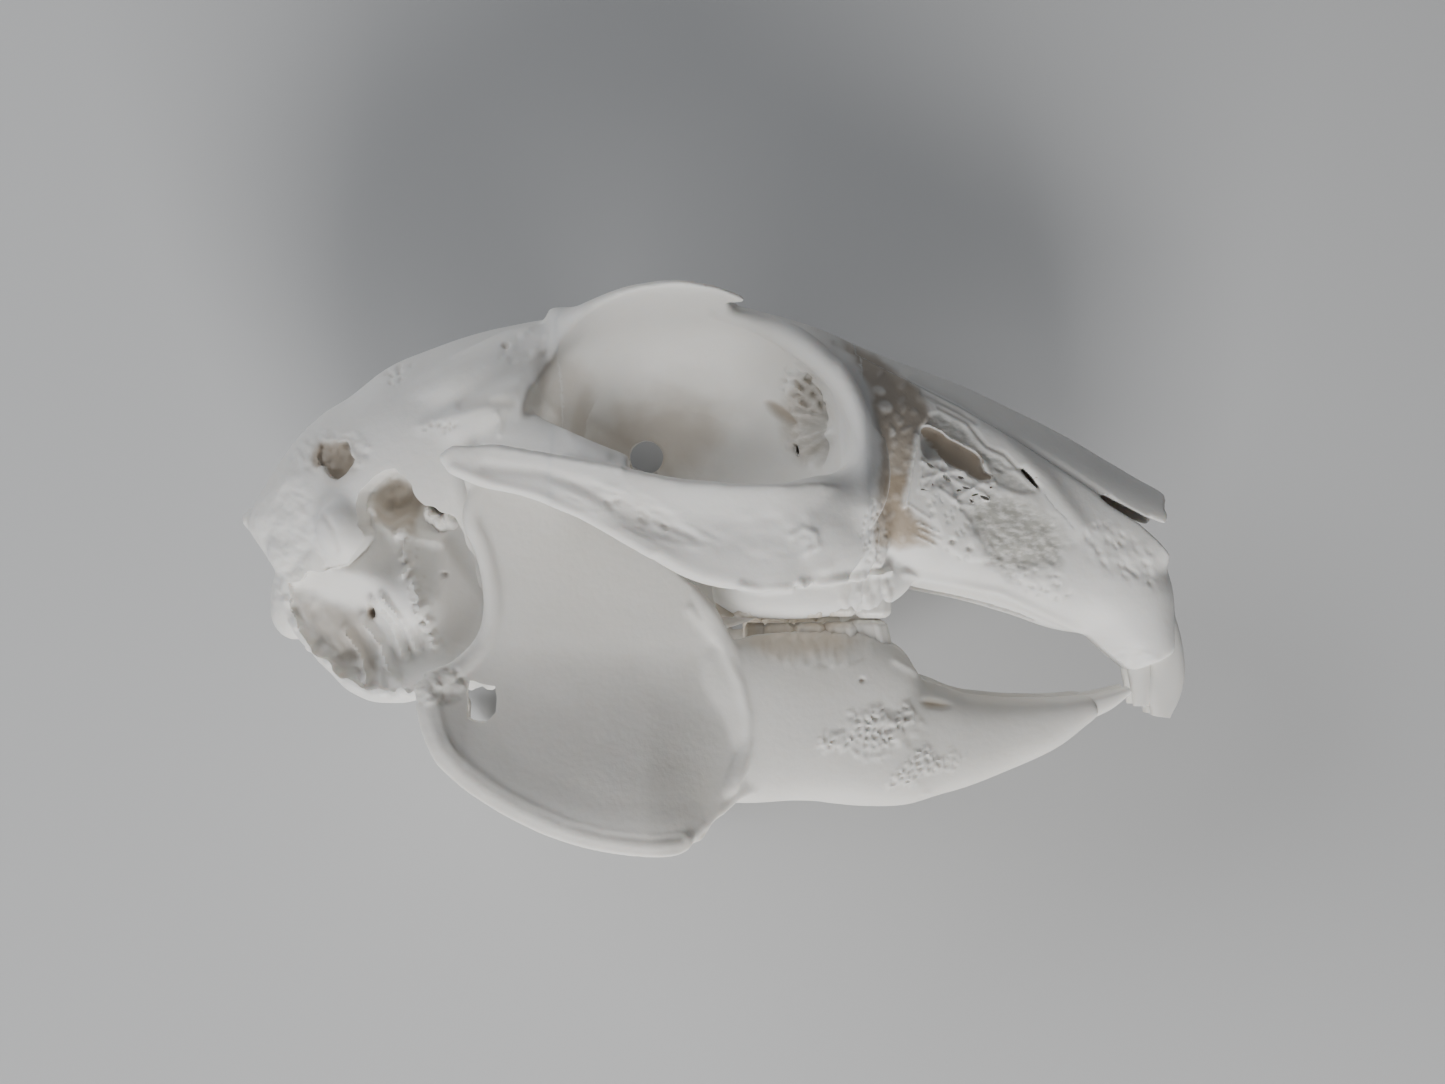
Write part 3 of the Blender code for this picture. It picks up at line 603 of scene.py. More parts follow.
def seed_distances(points: np.ndarray, seed: int) -> tuple[np.ndarray, np.ndarray]:
    """Distances to random seeds, one in each unit square.

    Args:
        points: Rows of two coordinates.
        seed: Another seed gives other places.

    Returns:
        The distances from each point to the nearest seed and to the second nearest.
    """
    cell = np.floor(points)
    first = np.full(len(points), np.inf)
    second = first.copy()
    for step in itertools.product((-1, 0, 1), repeat=2):
        corner = cell + step
        place = columns(scatter(corner, seed), scatter(corner, seed + 11))
        away = np.linalg.norm(corner + place - points, axis=1)
        second = np.minimum(second, np.maximum(first, away))
        first = np.minimum(first, away)
    return first, second


def path_distance(points: np.ndarray, path: Path) -> np.ndarray:
    """Distance from points to a line of straight pieces.

    Args:
        points: Rows of x and y.
        path: The corners of the line.

    Returns:
        The distance from each point to the nearest piece.
    """
    best = np.full(len(points), np.inf)
    corners = np.array(path, float)
    for start, stop in zip(corners, corners[1:]):
        run = stop - start
        to = points - start
        t = np.clip(to @ run / (run @ run), 0, 1)
        best = np.minimum(best, np.linalg.norm(to - t[:, None] * run, axis=1))
    return best


def depth_inside(points: np.ndarray, outline: Path) -> np.ndarray:
    """How far points lie inside an outline.

    Args:
        points: Rows of x and y.
        outline: Its corners.

    Returns:
        The depth of each point, negative outside.
    """
    ring = np.array(outline, float)
    within = np.zeros(len(points), bool)
    x, y = points.T
    for (ax, ay), (bx, by) in zip(ring, np.roll(ring, -1, axis=0)):
        if ay != by:
            crosses = (ay > y) != (by > y)
            within ^= crosses & (x < ax + (y - ay) * (bx - ax) / (by - ay))
    away = path_distance(points, [*outline, outline[0]])
    return np.where(within, away, -away)


def oval(centre: Point, radii: Point, turn: float = 0.0, count: int = 20) -> Path:
    """An oval in the side view.

    Args:
        centre: Its middle.
        radii: Half its length and half its width.
        turn: Degrees from x to its length.
        count: Corners that it is drawn with.

    Returns:
        The corners.
    """
    angle = math.radians(turn)
    corners = []
    for i in range(count):
        a = radii[0] * math.cos(2 * math.pi * i / count)
        b = radii[1] * math.sin(2 * math.pi * i / count)
        along = a * math.cos(angle) - b * math.sin(angle)
        corners.append((centre[0] + along, centre[1] + a * math.sin(angle) + b * math.cos(angle)))
    return corners


def ragged(outline: Path, amount: float, seed: int, step: float = 0.45, grain: float = 0.8) -> Path:
    """A broken edge in the place of a smooth one.

    Args:
        outline: The corners of the smooth edge.
        amount: How far the broken edge strays, in millimetres.
        seed: Another seed gives another edge.
        step: Distance from one new corner to the next.
        grain: Width of the broken edge's teeth.

    Returns:
        The new corners.
    """
    corners = []
    for start, stop in zip(outline, [*outline[1:], outline[0]]):
        run = np.array(stop) - np.array(start)
        count = max(1, int(np.linalg.norm(run) / step))
        corners += [np.array(start) + run * t for t in np.arange(count) / count]
    points = np.array(corners)
    stray = columns(noise(points / grain, seed), noise(points / grain, seed + 1))
    return [tuple(point) for point in points + amount * stray]


@dataclass(frozen=True, kw_only=True)
class Mark:
    """A form on the skin, placed where the camera of the photograph sees it.

    A height in millimetres raises the skin, or sinks it where negative. The brown value darkens it,
    or clears it where negative: the real brown of thin bone, and painted shade in pits, grooves, holes
    and hollows. Thin bone is mottled grey. The mark stays between near and far millimetres from the
    midline.
    """

    height: float = 0.0
    # darker brown: real stains, and painted shade where a mark sinks the skin
    stain_and_shade: float = 0.0
    rough: float = 0.0
    thin: float = 0.0
    near: float = 2.0
    far: float = 40.0

    def cover(self, view: np.ndarray) -> np.ndarray:
        """How strong the mark is at points of the side view, from 0 to 1."""
        raise NotImplementedError


@dataclass(frozen=True)
class Line(Mark):
    """A soft ridge or groove along a path."""

    path: Path
    _: KW_ONLY
    width: float = 0.3

    def cover(self, view: np.ndarray) -> np.ndarray:
        """Strongest on the path and gone at twice the width."""
        return np.exp(-((path_distance(view, self.path) / self.width) ** 2))


@dataclass(frozen=True)
class Patch(Mark):
    """An area with a soft edge, which noise makes uneven."""

    outline: Path
    _: KW_ONLY
    soft: float = 0.6
    uneven: float = 0.0
    grain: float = 1.6
    seed: int = 1

    def cover(self, view: np.ndarray) -> np.ndarray:
        """Full inside the outline and gone at its edge.

        Args:
            view: Points of the side view.

        Returns:
            The strength at each point.
        """
        strength = np.zeros(len(view))
        ring = np.array(self.outline)
        near = ((view > ring.min(0) - 0.3) & (view < ring.max(0) + 0.3)).all(1)
        if not near.any():
            return strength
        inner = depth_inside(view[near], self.outline)
        if self.uneven:
            inner = inner + self.uneven * cloud(view[near], self.grain, self.seed)
        strength[near] = smooth_step(inner, 0.0, self.soft) * self.pattern(view[near])
        return strength

    def pattern(self, view: np.ndarray) -> np.ndarray:
        """How the area is filled: evenly."""
        return np.ones(len(view))


@dataclass(frozen=True, kw_only=True)
class Grained(Patch):
    """An area with a pattern that has a direction: turn, in degrees, is the way of its length."""

    size: float = 0.6
    turn: float = 0.0
    stretch: float = 1.0

    def spread(self, view: np.ndarray, stray: float = 0.0) -> np.ndarray:
        """The points in units of the pattern.

        Args:
            view: Points of the side view.
            stray: How far noise moves them.

        Returns:
            A row for each point, its length first.
        """
        angle = math.radians(self.turn)
        turned = view @ np.array([[math.cos(angle), -math.sin(angle)], [math.sin(angle), math.cos(angle)]])
        points = turned / self.size / np.array((self.stretch, 1.0))
        if stray:
            moves = columns(noise(points, self.seed + 5), noise(points, self.seed + 6))
            points = points + stray * moves
        return points


@dataclass(frozen=True, kw_only=True)
class Holes(Grained):
    """An area full of small pits, or of small bumps where the height is positive."""

    reach: float = 0.42

    def pattern(self, view: np.ndarray) -> np.ndarray:
        """Round or long spots, one for each cell of the given size."""
        nearest, _ = seed_distances(self.spread(view, 0.25), self.seed)
        return 1 - smooth_step(nearest, 0.35 * self.reach, self.reach)


@dataclass(frozen=True, kw_only=True)
class Web(Grained):
    """An area of thin walls between cells, high along the walls."""

    size: float = 1.0
    wall: float = 0.16

    def pattern(self, view: np.ndarray) -> np.ndarray:
        """1 on the walls and 0 in the cells."""
        nearest, second = seed_distances(self.spread(view, 0.3), self.seed)
        return 1 - smooth_step(second - nearest, 0.5 * self.wall, 1.6 * self.wall)


@dataclass(frozen=True, kw_only=True)
class Waves(Grained):
    """An area of soft uneven waves."""

    size: float = 0.8
    stretch: float = 3.0

    def pattern(self, view: np.ndarray) -> np.ndarray:
        """Smooth noise from -1 to 1."""
        spread = self.spread(view)
        return 0.7 * noise(spread, self.seed) + 0.3 * noise(2.1 * spread, self.seed + 1)


class Relief:
    """Carves marks into a dense mesh and paints its brown: real stains, and painted shade in what is sunk.
    """

    # painted shade: how much darker a sunken place is painted
    pit_painted_shade = 0.16  # how much a pit darkens
    pit_depth = 0.4  # the depth at which it is darkest, in millimetres

    def __init__(self, thing: Thing, eye: float) -> None:
        """Reads the mesh.

        Args:
            thing: The object to carve.
            eye: Millimetres from the midline to the camera, on either side.
        """
        self.thing = thing
        self.eye = eye
        self.points = vectors(thing.data.vertices, "co") / MM
        self.normals = vectors(thing.data.vertices, "normal")
        self.shift, self.stain_and_shade, self.rough, self.thin = np.zeros((4, len(self.points)))

    def out(self, side: Side) -> np.ndarray:
        """How far out from the midline each point is on a side."""
        return self.points[:, 2] * side.value

    def seen(self, side: Side) -> np.ndarray:
        """Where a camera on this side sees each point, in millimetres of the midplane."""
        return self.points[:, :2] * (self.eye / (self.eye - self.out(side)))[:, None]

    def draw(self, marks: list[Mark], sides: tuple[Side, ...] = tuple(Side)) -> None:
        """Adds marks.

        Args:
            marks: What is drawn, in order.
            sides: The sides that get it.
        """
        for side in sides:
            view, out = self.seen(side), self.out(side)
            facing = smooth_step(self.normals[:, 2] * side.value, 0.05, 0.45)
            for mark in marks:
                here = np.flatnonzero((out > mark.near) & (out < mark.far) & (facing > 0))
                cover = mark.cover(view[here]) * facing[here]
                self.shift[here] += cover * mark.height
                self.rough[here] = np.maximum(self.rough[here], cover * mark.rough)
                self.thin[here] = np.maximum(self.thin[here], cover * mark.thin)
                if mark.stain_and_shade < 0:
                    self.stain_and_shade[here] += cover * mark.stain_and_shade
                elif mark.stain_and_shade > 0:
                    self.stain_and_shade[here] = np.maximum(self.stain_and_shade[here], cover * mark.stain_and_shade)

    def undulate(self, size: float, height: float, seed: int, where: np.ndarray | float = 1.0) -> None:
        """Makes the skin uneven, with waves as long as size."""
        self.shift += height * cloud(self.points, size, seed) * where

    def apply(self) -> Thing:
        """Moves the mesh along its normals and stores what is painted on it as attributes.

        Returns:
            The carved object.
        """
        data = self.thing.data
        # Painted shade: sunken places are painted darker, the more the deeper they sink.
        self.stain_and_shade += self.pit_painted_shade * np.clip(-self.shift / self.pit_depth, 0, 1)
        moved = (self.points + self.normals * self.shift[:, None]) * MM
        data.vertices.foreach_set("co", moved.ravel())
        for name, values in (("stain_and_shade", self.stain_and_shade), ("rough", self.rough), ("thin", self.thin)):
            layer = data.attributes.new(name, "FLOAT", "POINT")
            layer.data.foreach_set("value", np.clip(values, 0, 1).astype(np.float32))
        data.update()
        return self.thing


class Graph:
    """A new material, with a short way to add nodes to it."""

    def __init__(self, name: str, settings: Values) -> None:
        """Makes the material.

        Args:
            name: Name of the material.
            settings: Values of the shader's own sockets.
        """
        self.material = bpy.data.materials.new(name)
        self.material.use_nodes = True
        self.tree = self.material.node_tree
        self.shader = self.tree.nodes["Principled BSDF"]
        self.fill(self.shader, settings)
        self.place = self.add("TexCoord", "Object")

    def fill(self, node: bpy.types.Node, values: Values) -> None:
        """Links or sets sockets of a node.

        Args:
            node: The node.
            values: A socket to link or a value to set, by the name or number of the input.
        """
        for name, value in values.items():
            if isinstance(value, bpy.types.NodeSocket):
                self.tree.links.new(value, node.inputs[name])
            else:
                node.inputs[name].default_value = value

    def add(self, kind: str, output: str, values: Values | None = None, **options: str | bool) -> Socket:
        """Adds a node.

        Args:
            kind: The end of the node's type.
            output: The output that is wanted.
            values: What goes into its inputs.
            options: Settings of the node itself, which come before its inputs.

        Returns:
            The output.
        """
        node = self.tree.nodes.new(f"ShaderNode{kind}")
        for name, option in options.items():
            setattr(node, name, option)
        self.fill(node, values or {})
        return node.outputs[output]

    def noise(self, scale: float, detail: float, place: Socket | None = None) -> Socket:
        """A noise texture's factor, in Object coordinates unless place says otherwise."""
        place = self.place if place is None else place
        return self.add("TexNoise", "Fac", {"Scale": scale, "Detail": detail, "Vector": place})

    def ranged(self, source: Socket, low: float, high: float, top: float, least: float = 0.0) -> Socket:
        """The source stretched from low to high onto least to top."""
        ends = {"From Min": low, "From Max": high, "To Min": least, "To Max": top, "Value": source}
        return self.add("MapRange", "Result", ends)

    def times(self, first: Socket, second: Socket | float) -> Socket:
        """The product of two values, from 0 to 1."""
        return self.add("Math", "Value", {0: first, 1: second}, operation="MULTIPLY", use_clamp=True)

    def mixed(self, amount: Socket, first: Socket | Point, second: Socket | Point) -> Socket:
        """A colour between two, each a colour or a socket."""
        return self.add("Mix", "Result", {"Factor": amount, "A": first, "B": second}, data_type="RGBA")

    def painted(self, name: str) -> Socket:
        """A value that Relief painted on the mesh."""
        return self.add("Attribute", "Fac", attribute_name=name)

    def bump(
        self, height: Socket, strength: Socket | float, distance: float, under: Socket | None = None
    ) -> Socket:
        """A normal that is raised by height.

        Args:
            height: What raises it.
            strength: How much of it shows.
            distance: The height of 1, in metres.
            under: The normal that it is added to.

        Returns:
            The normal.
        """
        values = {"Height": height, "Strength": strength, "Distance": distance}
        if under is not None:
            values["Normal"] = under
        return self.add("Bump", "Normal", values)


@dataclass(frozen=True)
class BoneFinish:
    """Dry bleached bone: matt, faintly waxy, mottled grey where it is thin, pitted where it is rough, and
    brown where stained and where shade is painted.
    """

    name: str
    white: Point = (0.84, 0.83, 0.805)
    cream: Point = (0.77, 0.75, 0.70)
    # the brown of real stains and of painted shade
    shade: Point = (0.35, 0.27, 0.185)
    clear: Point = (0.50, 0.50, 0.46)
    roughness: float = 0.56
    grain: float = 0.10
    pores: float = 0.45
    blotch_scale: float = 120.0
    speck_scale: float = 900.0
    mottle_scale: float = 2300.0
    mottle_stretch: Point = (0.5, 1.1, 1.0)
    mottle_turn: float = 30.0
    uneven_scale: float = 400.0
    grain_scale: float = 1500.0
    pore_scale: float = 1700.0

    def build(self) -> bpy.types.Material:
        """Builds the material, with its pattern on Object coordinates and its stains and painted shade from
        the mesh.

        Returns:
            The material.
        """
        waxy = {"Weight": 0.22, "Radius": (1.0, 0.75, 0.55), "Scale": 0.0011}
        settings = {f"Subsurface {name}": value for name, value in waxy.items()}
        graph = Graph(self.name, settings | {"Roughness": self.roughness, "Specular IOR Level": 0.42})
        colours = (self.white, self.cream, self.shade, self.clear)
        white, cream, shade, clear = ((*colour, 1) for colour in colours)
        bone = graph.mixed(graph.ranged(graph.noise(self.blotch_scale, 4), 0.42, 0.72, 0.55), white, cream)
        bone = graph.mixed(graph.ranged(graph.noise(self.speck_scale, 3), 0.62, 0.80, 0.30), bone, cream)
        turn = (0, 0, math.radians(self.mottle_turn))
        streaked = graph.add(
            "Mapping", "Vector", {"Vector": graph.place, "Rotation": turn, "Scale": self.mottle_stretch}
        )
        mottling = graph.ranged(graph.noise(self.mottle_scale, 3, streaked), 0.34, 0.58, 1.0)
        bone = graph.mixed(graph.times(graph.painted("thin"), mottling), bone, clear)
        # Real stains and painted shade: the mesh's brown value mixes in the shade colour.
        bone = graph.mixed(graph.ranged(graph.painted("stain_and_shade"), 0.0, 1.0, 0.92), bone, shade)
        uneven = graph.ranged(graph.noise(self.uneven_scale, 2), 0.3, 0.7, 0.14)
        rough = graph.add("Math", "Value", {0: uneven, 1: self.roughness - 0.07})
        fine = graph.bump(graph.noise(self.grain_scale, 5), self.grain, 0.0004)
        pores = graph.add("TexVoronoi", "Distance", {"Scale": self.pore_scale, "Vector": graph.place})
        depth = graph.times(graph.painted("rough"), self.pores)
        deep = graph.bump(graph.ranged(pores, 0.0, 0.42, 1.0), depth, 0.0003, fine)
        graph.fill(graph.shader, {"Base Color": bone, "Roughness": rough, "Normal": deep})
        return graph.material


@dataclass(frozen=True)
class ToothFinish:
    """Tooth enamel: smooth and glossier than bone, with faint brown painted shade on the hinder cheek
    teeth.
    """

    name: str = "tooth_enamel"
    enamel: Point = (0.82, 0.805, 0.765)
    # the brown of painted shade
    shade_tint: Point = (0.52, 0.42, 0.30)
    roughness: float = 0.32
    ridge_scale: float = 700.0
    ridges: float = 0.12

    def build(self) -> bpy.types.Material:
        """Builds the material, with faint ridges and a brown of painted shade.

        Returns:
            The material.
        """
        waxy = {"Weight": 0.2, "Radius": (1.0, 0.8, 0.6), "Scale": 0.0008}
        settings = {f"Subsurface {name}": value for name, value in waxy.items()}
        graph = Graph(self.name, settings | {"Roughness": self.roughness})
        ridges = graph.noise(self.ridge_scale, 4)
        shade_tinted = graph.times(graph.painted("stain_and_shade"), graph.ranged(ridges, 0.3, 0.7, 1.3, 0.6))
        colour = graph.mixed(shade_tinted, (*self.enamel, 1), (*self.shade_tint, 1))
        normal = graph.bump(ridges, self.ridges, 0.0002)
        graph.fill(graph.shader, {"Base Color": colour, "Normal": normal})
        return graph.material


@dataclass
class Fitter:
    """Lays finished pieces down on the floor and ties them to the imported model."""

    seat: Matrix
    seam_reach: float = 0.004
    made: list[str] = field(default_factory=list)

    def edges_at(self, piece: Thing, seams: tuple[float, ...]) -> np.ndarray:
        """Finds the edges of an upright piece that lie in a cut across the skull.

        Args:
            piece: The piece.
            seams: Where along the skull the cuts are.

        Returns:
            True or false for each edge.
        """
        data = piece.data
        ends = np.empty(len(data.edges) * 2, np.int32)
        data.edges.foreach_get("vertices", ends)
        along = (vectors(data.vertices, "co")[:, 0] / MM)[ends].reshape(-1, 2)
        lies = np.zeros(len(along), bool)
        for seam in seams:
            lies |= np.abs(along - seam).max(axis=1) < self.seam_reach
        return lies

    def place(
        self,
        piece: Thing,
        material: bpy.types.Material,
        slot: Slot,
        replaces: tuple[str, ...] = (),
        sharp: float = 50.0,
        seams: tuple[float, ...] = (),
    ) -> None:
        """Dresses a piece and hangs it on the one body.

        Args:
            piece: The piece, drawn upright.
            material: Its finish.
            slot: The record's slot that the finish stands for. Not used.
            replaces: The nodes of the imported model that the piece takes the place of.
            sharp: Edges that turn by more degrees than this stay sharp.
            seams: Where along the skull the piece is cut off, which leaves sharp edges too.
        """
        cut_edges = self.edges_at(piece, seams)
        piece.data.transform(self.seat)
        piece.data.shade_smooth()
        piece.data.set_sharp_from_angle(angle=math.radians(sharp))
        creased = np.empty(len(piece.data.edges), bool)
        piece.data.edges.foreach_get("use_edge_sharp", creased)
        piece.data.edges.foreach_set("use_edge_sharp", creased | cut_edges)
        piece.data.materials.clear()
        piece.data.materials.append(material)
        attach(piece, "root")
        if replaces:
            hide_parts(*replaces)
        piece.data.calc_loop_triangles()
        LOG.info("%s: %d triangles", piece.name, len(piece.data.loop_triangles))
        self.made.append(piece.name)


def ear_forms() -> list[Mark]:
    """The broken floor of the ear region.

    Returns:
        Its forms, as heights over the deepest level.
    """
    ridge = [(-30.4, 1.3), (-29.9, -0.9), (-29.4, -3), (-28.6, -5.2), (-28, -7.4), (-27.4, -9.8)]
    folds = [
        [(-33.1, -5.5), (-31.4, -7.8), (-30.4, -10.8)], [(-31.9, -5.3), (-30.2, -7.4), (-29.1, -10.3)],
        [(-34.2, -7.6), (-32.5, -9.8), (-31.7, -12.2)], [(-35.7, -8.6), (-34.4, -10.7), (-33.8, -13.1)],
    ]
    teeth = ((-27.8, 2.7), (-26.9, 2), (-25.9, 2.2))
    plane = [
        (-27.6, 0.2), (-25.3, 0.6), (-21.1, -5.5), (-21.3, -10.3), (-23.9, -12.2), (-27.2, -10.7),
        (-27.9, -5.5),
    ]
    petrous = [(-41.4, -1.4), (-38.6, -1.9), (-35.8, -2.7), (-32.7, -3.8), (-29.8, -6.1)]
    border = [(-42.4, -4.4), (-41.7, -7.6), (-39.2, -11.3), (-36.2, -14.1), (-30.6, -15.3), (-26.8, -13.9)]
    hind = [(-40.1, -5.5), (-37.2, -4.6), (-33.2, -6.7), (-30.6, -10.3), (-33.2, -13.5), (-37.2, -12)]
    forms: list[Mark] = [
        Line(petrous, width=2.2, height=3.0),
        Line([(-35.8, -0.4), (-32, -1.1), (-29.4, -3.6)], width=2.6, height=1.3),
        Line([(-33.8, 3.4), (-31.3, 1.1), (-28.9, 0.4), (-26.8, 0.1)], width=0.6, height=1.0),
        Patch(oval((-30.8, 4), (3, 2.2), -20), height=-1.2, soft=1.2),
        Patch(plane, height=1.1, soft=1.8),
        Patch(oval((-38.6, -8.4), (5, 3.6), -50), height=0.8, soft=2.0),
        Waves(oval((-31.4, 4.2), (3.4, 2.8)), size=1.1, stretch=1.5, turn=50, height=0.9, soft=0.6,
              seed=64),
        Line(border, width=1.2, height=1.5),
        Patch(oval((-33.4, -6.7), (0.5, 0.8)), height=-1.4, soft=0.4),
        Waves(hind, size=1.0, stretch=1.4, turn=-40, height=0.35, seed=63),
        Line(ridge, width=1.2, height=1.3),
    ]
    spots = fair([(x, y, 0.0) for x, y in ridge], 6)
    for i, (x, y, _) in enumerate(spots[::2]):
        aside = 0.42 * math.cos(2.6 * i)
        bead = oval((x + aside, y - 0.2 * aside), (0.74, 0.62), 40 * i)
        forms.append(Patch(bead, height=0.7 + 0.3 * (i % 2), soft=0.55))
    forms += [Line(fold, width=0.40, height=1.1) for fold in folds]
    return forms + [Patch(oval(place, (0.75, 1), 15), height=3.0, soft=0.5) for place in teeth]


def rear_marks() -> list[Mark]:
    """The temple, the ear region and the back of the head.

    Returns:
        The marks in the order of drawing.
    """
    crest = [
        (-28.5, 10.9), (-23.5, 12.8), (-19.2, 14.9), (-18, 14.6), (-16.3, 12.5), (-14.2, 9.7), (-11.1, 8.3),
    ]
    hollow = [
        (-41, -4.6), (-37.2, -4.9), (-34.2, -6.1), (-32.1, -9.3), (-32.1, -12.7), (-35.8, -12.3),
        (-39.1, -9.3), (-40.9, -6.7),
    ]
    cavity = [(-34, 4), (-32.1, 6.7), (-30.4, 6.8), (-27.9, 4), (-28.7, 0.2), (-31.4, 0.2), (-33.6, 1.7)]
    rim = [
        (-42.6, -4.6), (-41.1, -8.4), (-35.8, -14.1), (-30.1, -15.5), (-28.2, -14.1), (-30.6, -12.3),
        (-35.3, -11.2), (-39, -8.4), (-40.5, -5.1),
    ]
    floor = [(-27.7, 0.7), (-25.3, 1.1), (-22, -5.5), (-23, -10.7), (-26.8, -11.2), (-27.9, -5.5)]
    strip = [
        (-31, 1.3), (-29.1, 1.3), (-28.3, -1.7), (-27.2, -5.5), (-26.2, -10.3), (-28.5, -10.7), (-30, -5.5),
        (-31, -1.7),
    ]
    # Marks that sink the skin and darken it paint shade into their pits and grooves.
    return [
        Line(crest, width=0.6, height=0.18, near=6),
        Line([(-24.8, 12.9), (-22.4, 13.4), (-20.1, 13.1)], width=0.5, height=-0.25, stain_and_shade=0.15, near=6),
        Line([(-21.4, 12.2), (-21, 11.2), (-21.2, 10.2)], width=0.3, height=0.2, near=6),
        Holes(oval((-26.7, 10.9), (2.2, 1.1), 10), size=0.75, height=-0.16, stain_and_shade=0.2, soft=1.0, near=6,
              seed=3),
        Waves(oval((-27, 15.4), (6, 2.6), 30), size=1.1, turn=32, height=0.08, soft=1.6, near=4, seed=4),
        Holes(oval((-31, 16.1), (2.2, 1.4), 40), size=0.85, height=-0.16, stain_and_shade=0.15, soft=1.0, near=4,
              seed=4),
        Waves(oval((-18.4, 18.7), (3.8, 2.2), 15), size=0.9, stretch=1.3, height=0.2, soft=1.2, near=4,
              seed=6),
        Patch(oval((-20.6, 18.7), (0.5, 0.4)), soft=0.3, height=-0.3, stain_and_shade=0.3, near=4),
        Waves(oval((-41.2, -0.4), (3.2, 6), -12), size=0.40, stretch=2.2, turn=-25, height=0.12, soft=1.2,
              near=0, seed=7),
        Waves(oval((-42, 5.6), (2.2, 5), -28), size=1.2, stretch=1.6, turn=60, height=0.1, soft=1.0,
              near=0, seed=8),
        Line([(-38, 2.6), (-37, 1.2), (-36.6, -0.8)], width=0.3, height=-0.14, stain_and_shade=0.1, near=5),
        Line([(-37.6, -2.5), (-35.4, -2.3), (-33.9, -0.6)], width=0.3, height=-0.2, stain_and_shade=0.10, near=4),
        Waves(rim, size=0.95, stretch=1.3, turn=-50, height=0.5, soft=0.5, near=0, seed=11),
        Patch(hollow, stain_and_shade=0.40, soft=1.4, uneven=0.9, near=3, far=12, seed=9),
        Waves(hollow, size=1.2, stretch=1.8, turn=-60, stain_and_shade=0.25, height=0.12, near=3, far=12, seed=12),
        # Painted shade: the deep pit in the ear floor is painted dark.
        Patch(oval((-33.4, -6.7), (0.6, 0.9)), stain_and_shade=0.85, soft=0.4, near=3, far=12),
        # The ear cavity, its floor and the inside of the mastoid window are painted darker brown.
        Patch(cavity, stain_and_shade=0.62, soft=1.0, uneven=0.6, near=3, far=8.6, seed=17),
        Patch(floor, stain_and_shade=0.24, soft=1.5, near=3, far=12),
        Patch(oval((-36.8, 7.8), (2.6, 2.2)), stain_and_shade=0.80, soft=0.9, uneven=0.7, near=0, far=10.2, seed=12),
        Patch(oval((-36.8, 7.8), (3.4, 3)), stain_and_shade=0.24, soft=1.4, uneven=0.7, near=9, seed=12),
        Waves(oval((-37, 8.6), (4, 2.6)), size=0.7, stretch=1.2, height=0.2, soft=0.8, near=0, seed=13),
        Patch(oval((-26.4, -3.1), (0.5, 0.4)), height=-0.5, stain_and_shade=0.4, soft=0.35, near=3, far=12),
        Holes(strip, size=0.62, reach=0.4, height=-0.12, stain_and_shade=0.16, soft=0.5, near=5, far=12, seed=14),
    ]


def tear_folds() -> list[Mark]:
    """The fan of thin folds in the front corner of the eye socket.

    Returns:
        The marks in the order of drawing.
    """
    focus = (12, 10.4)
    folds: list[Mark] = [
        Web(oval((8.2, 14.6), (3.2, 2.6), -30), size=0.85, stretch=1.9, turn=-34, wall=0.34, height=0.4,
            soft=1.0, near=0, far=11, seed=28),
    ]
    for i in range(9):
        angle = math.radians(118 + 13 * i + 6 * math.sin(5.1 * i))
        reach = 4.9 + 0.9 * math.sin(2.3 * i)
        end = (focus[0] + reach * math.cos(angle), focus[1] + reach * math.sin(angle))
        bow = (0.5 * (focus[0] + end[0]) + 0.5 * math.sin(3.1 * i), 0.5 * (focus[1] + end[1]) + 0.4)
        width, height = 0.34 + 0.12 * (i % 3), 0.26 + 0.10 * (i % 4)
        fold = Line([focus, bow, end], width=width, height=height, stain_and_shade=-0.12, near=0, far=11)
        folds.append(fold)
    return folds


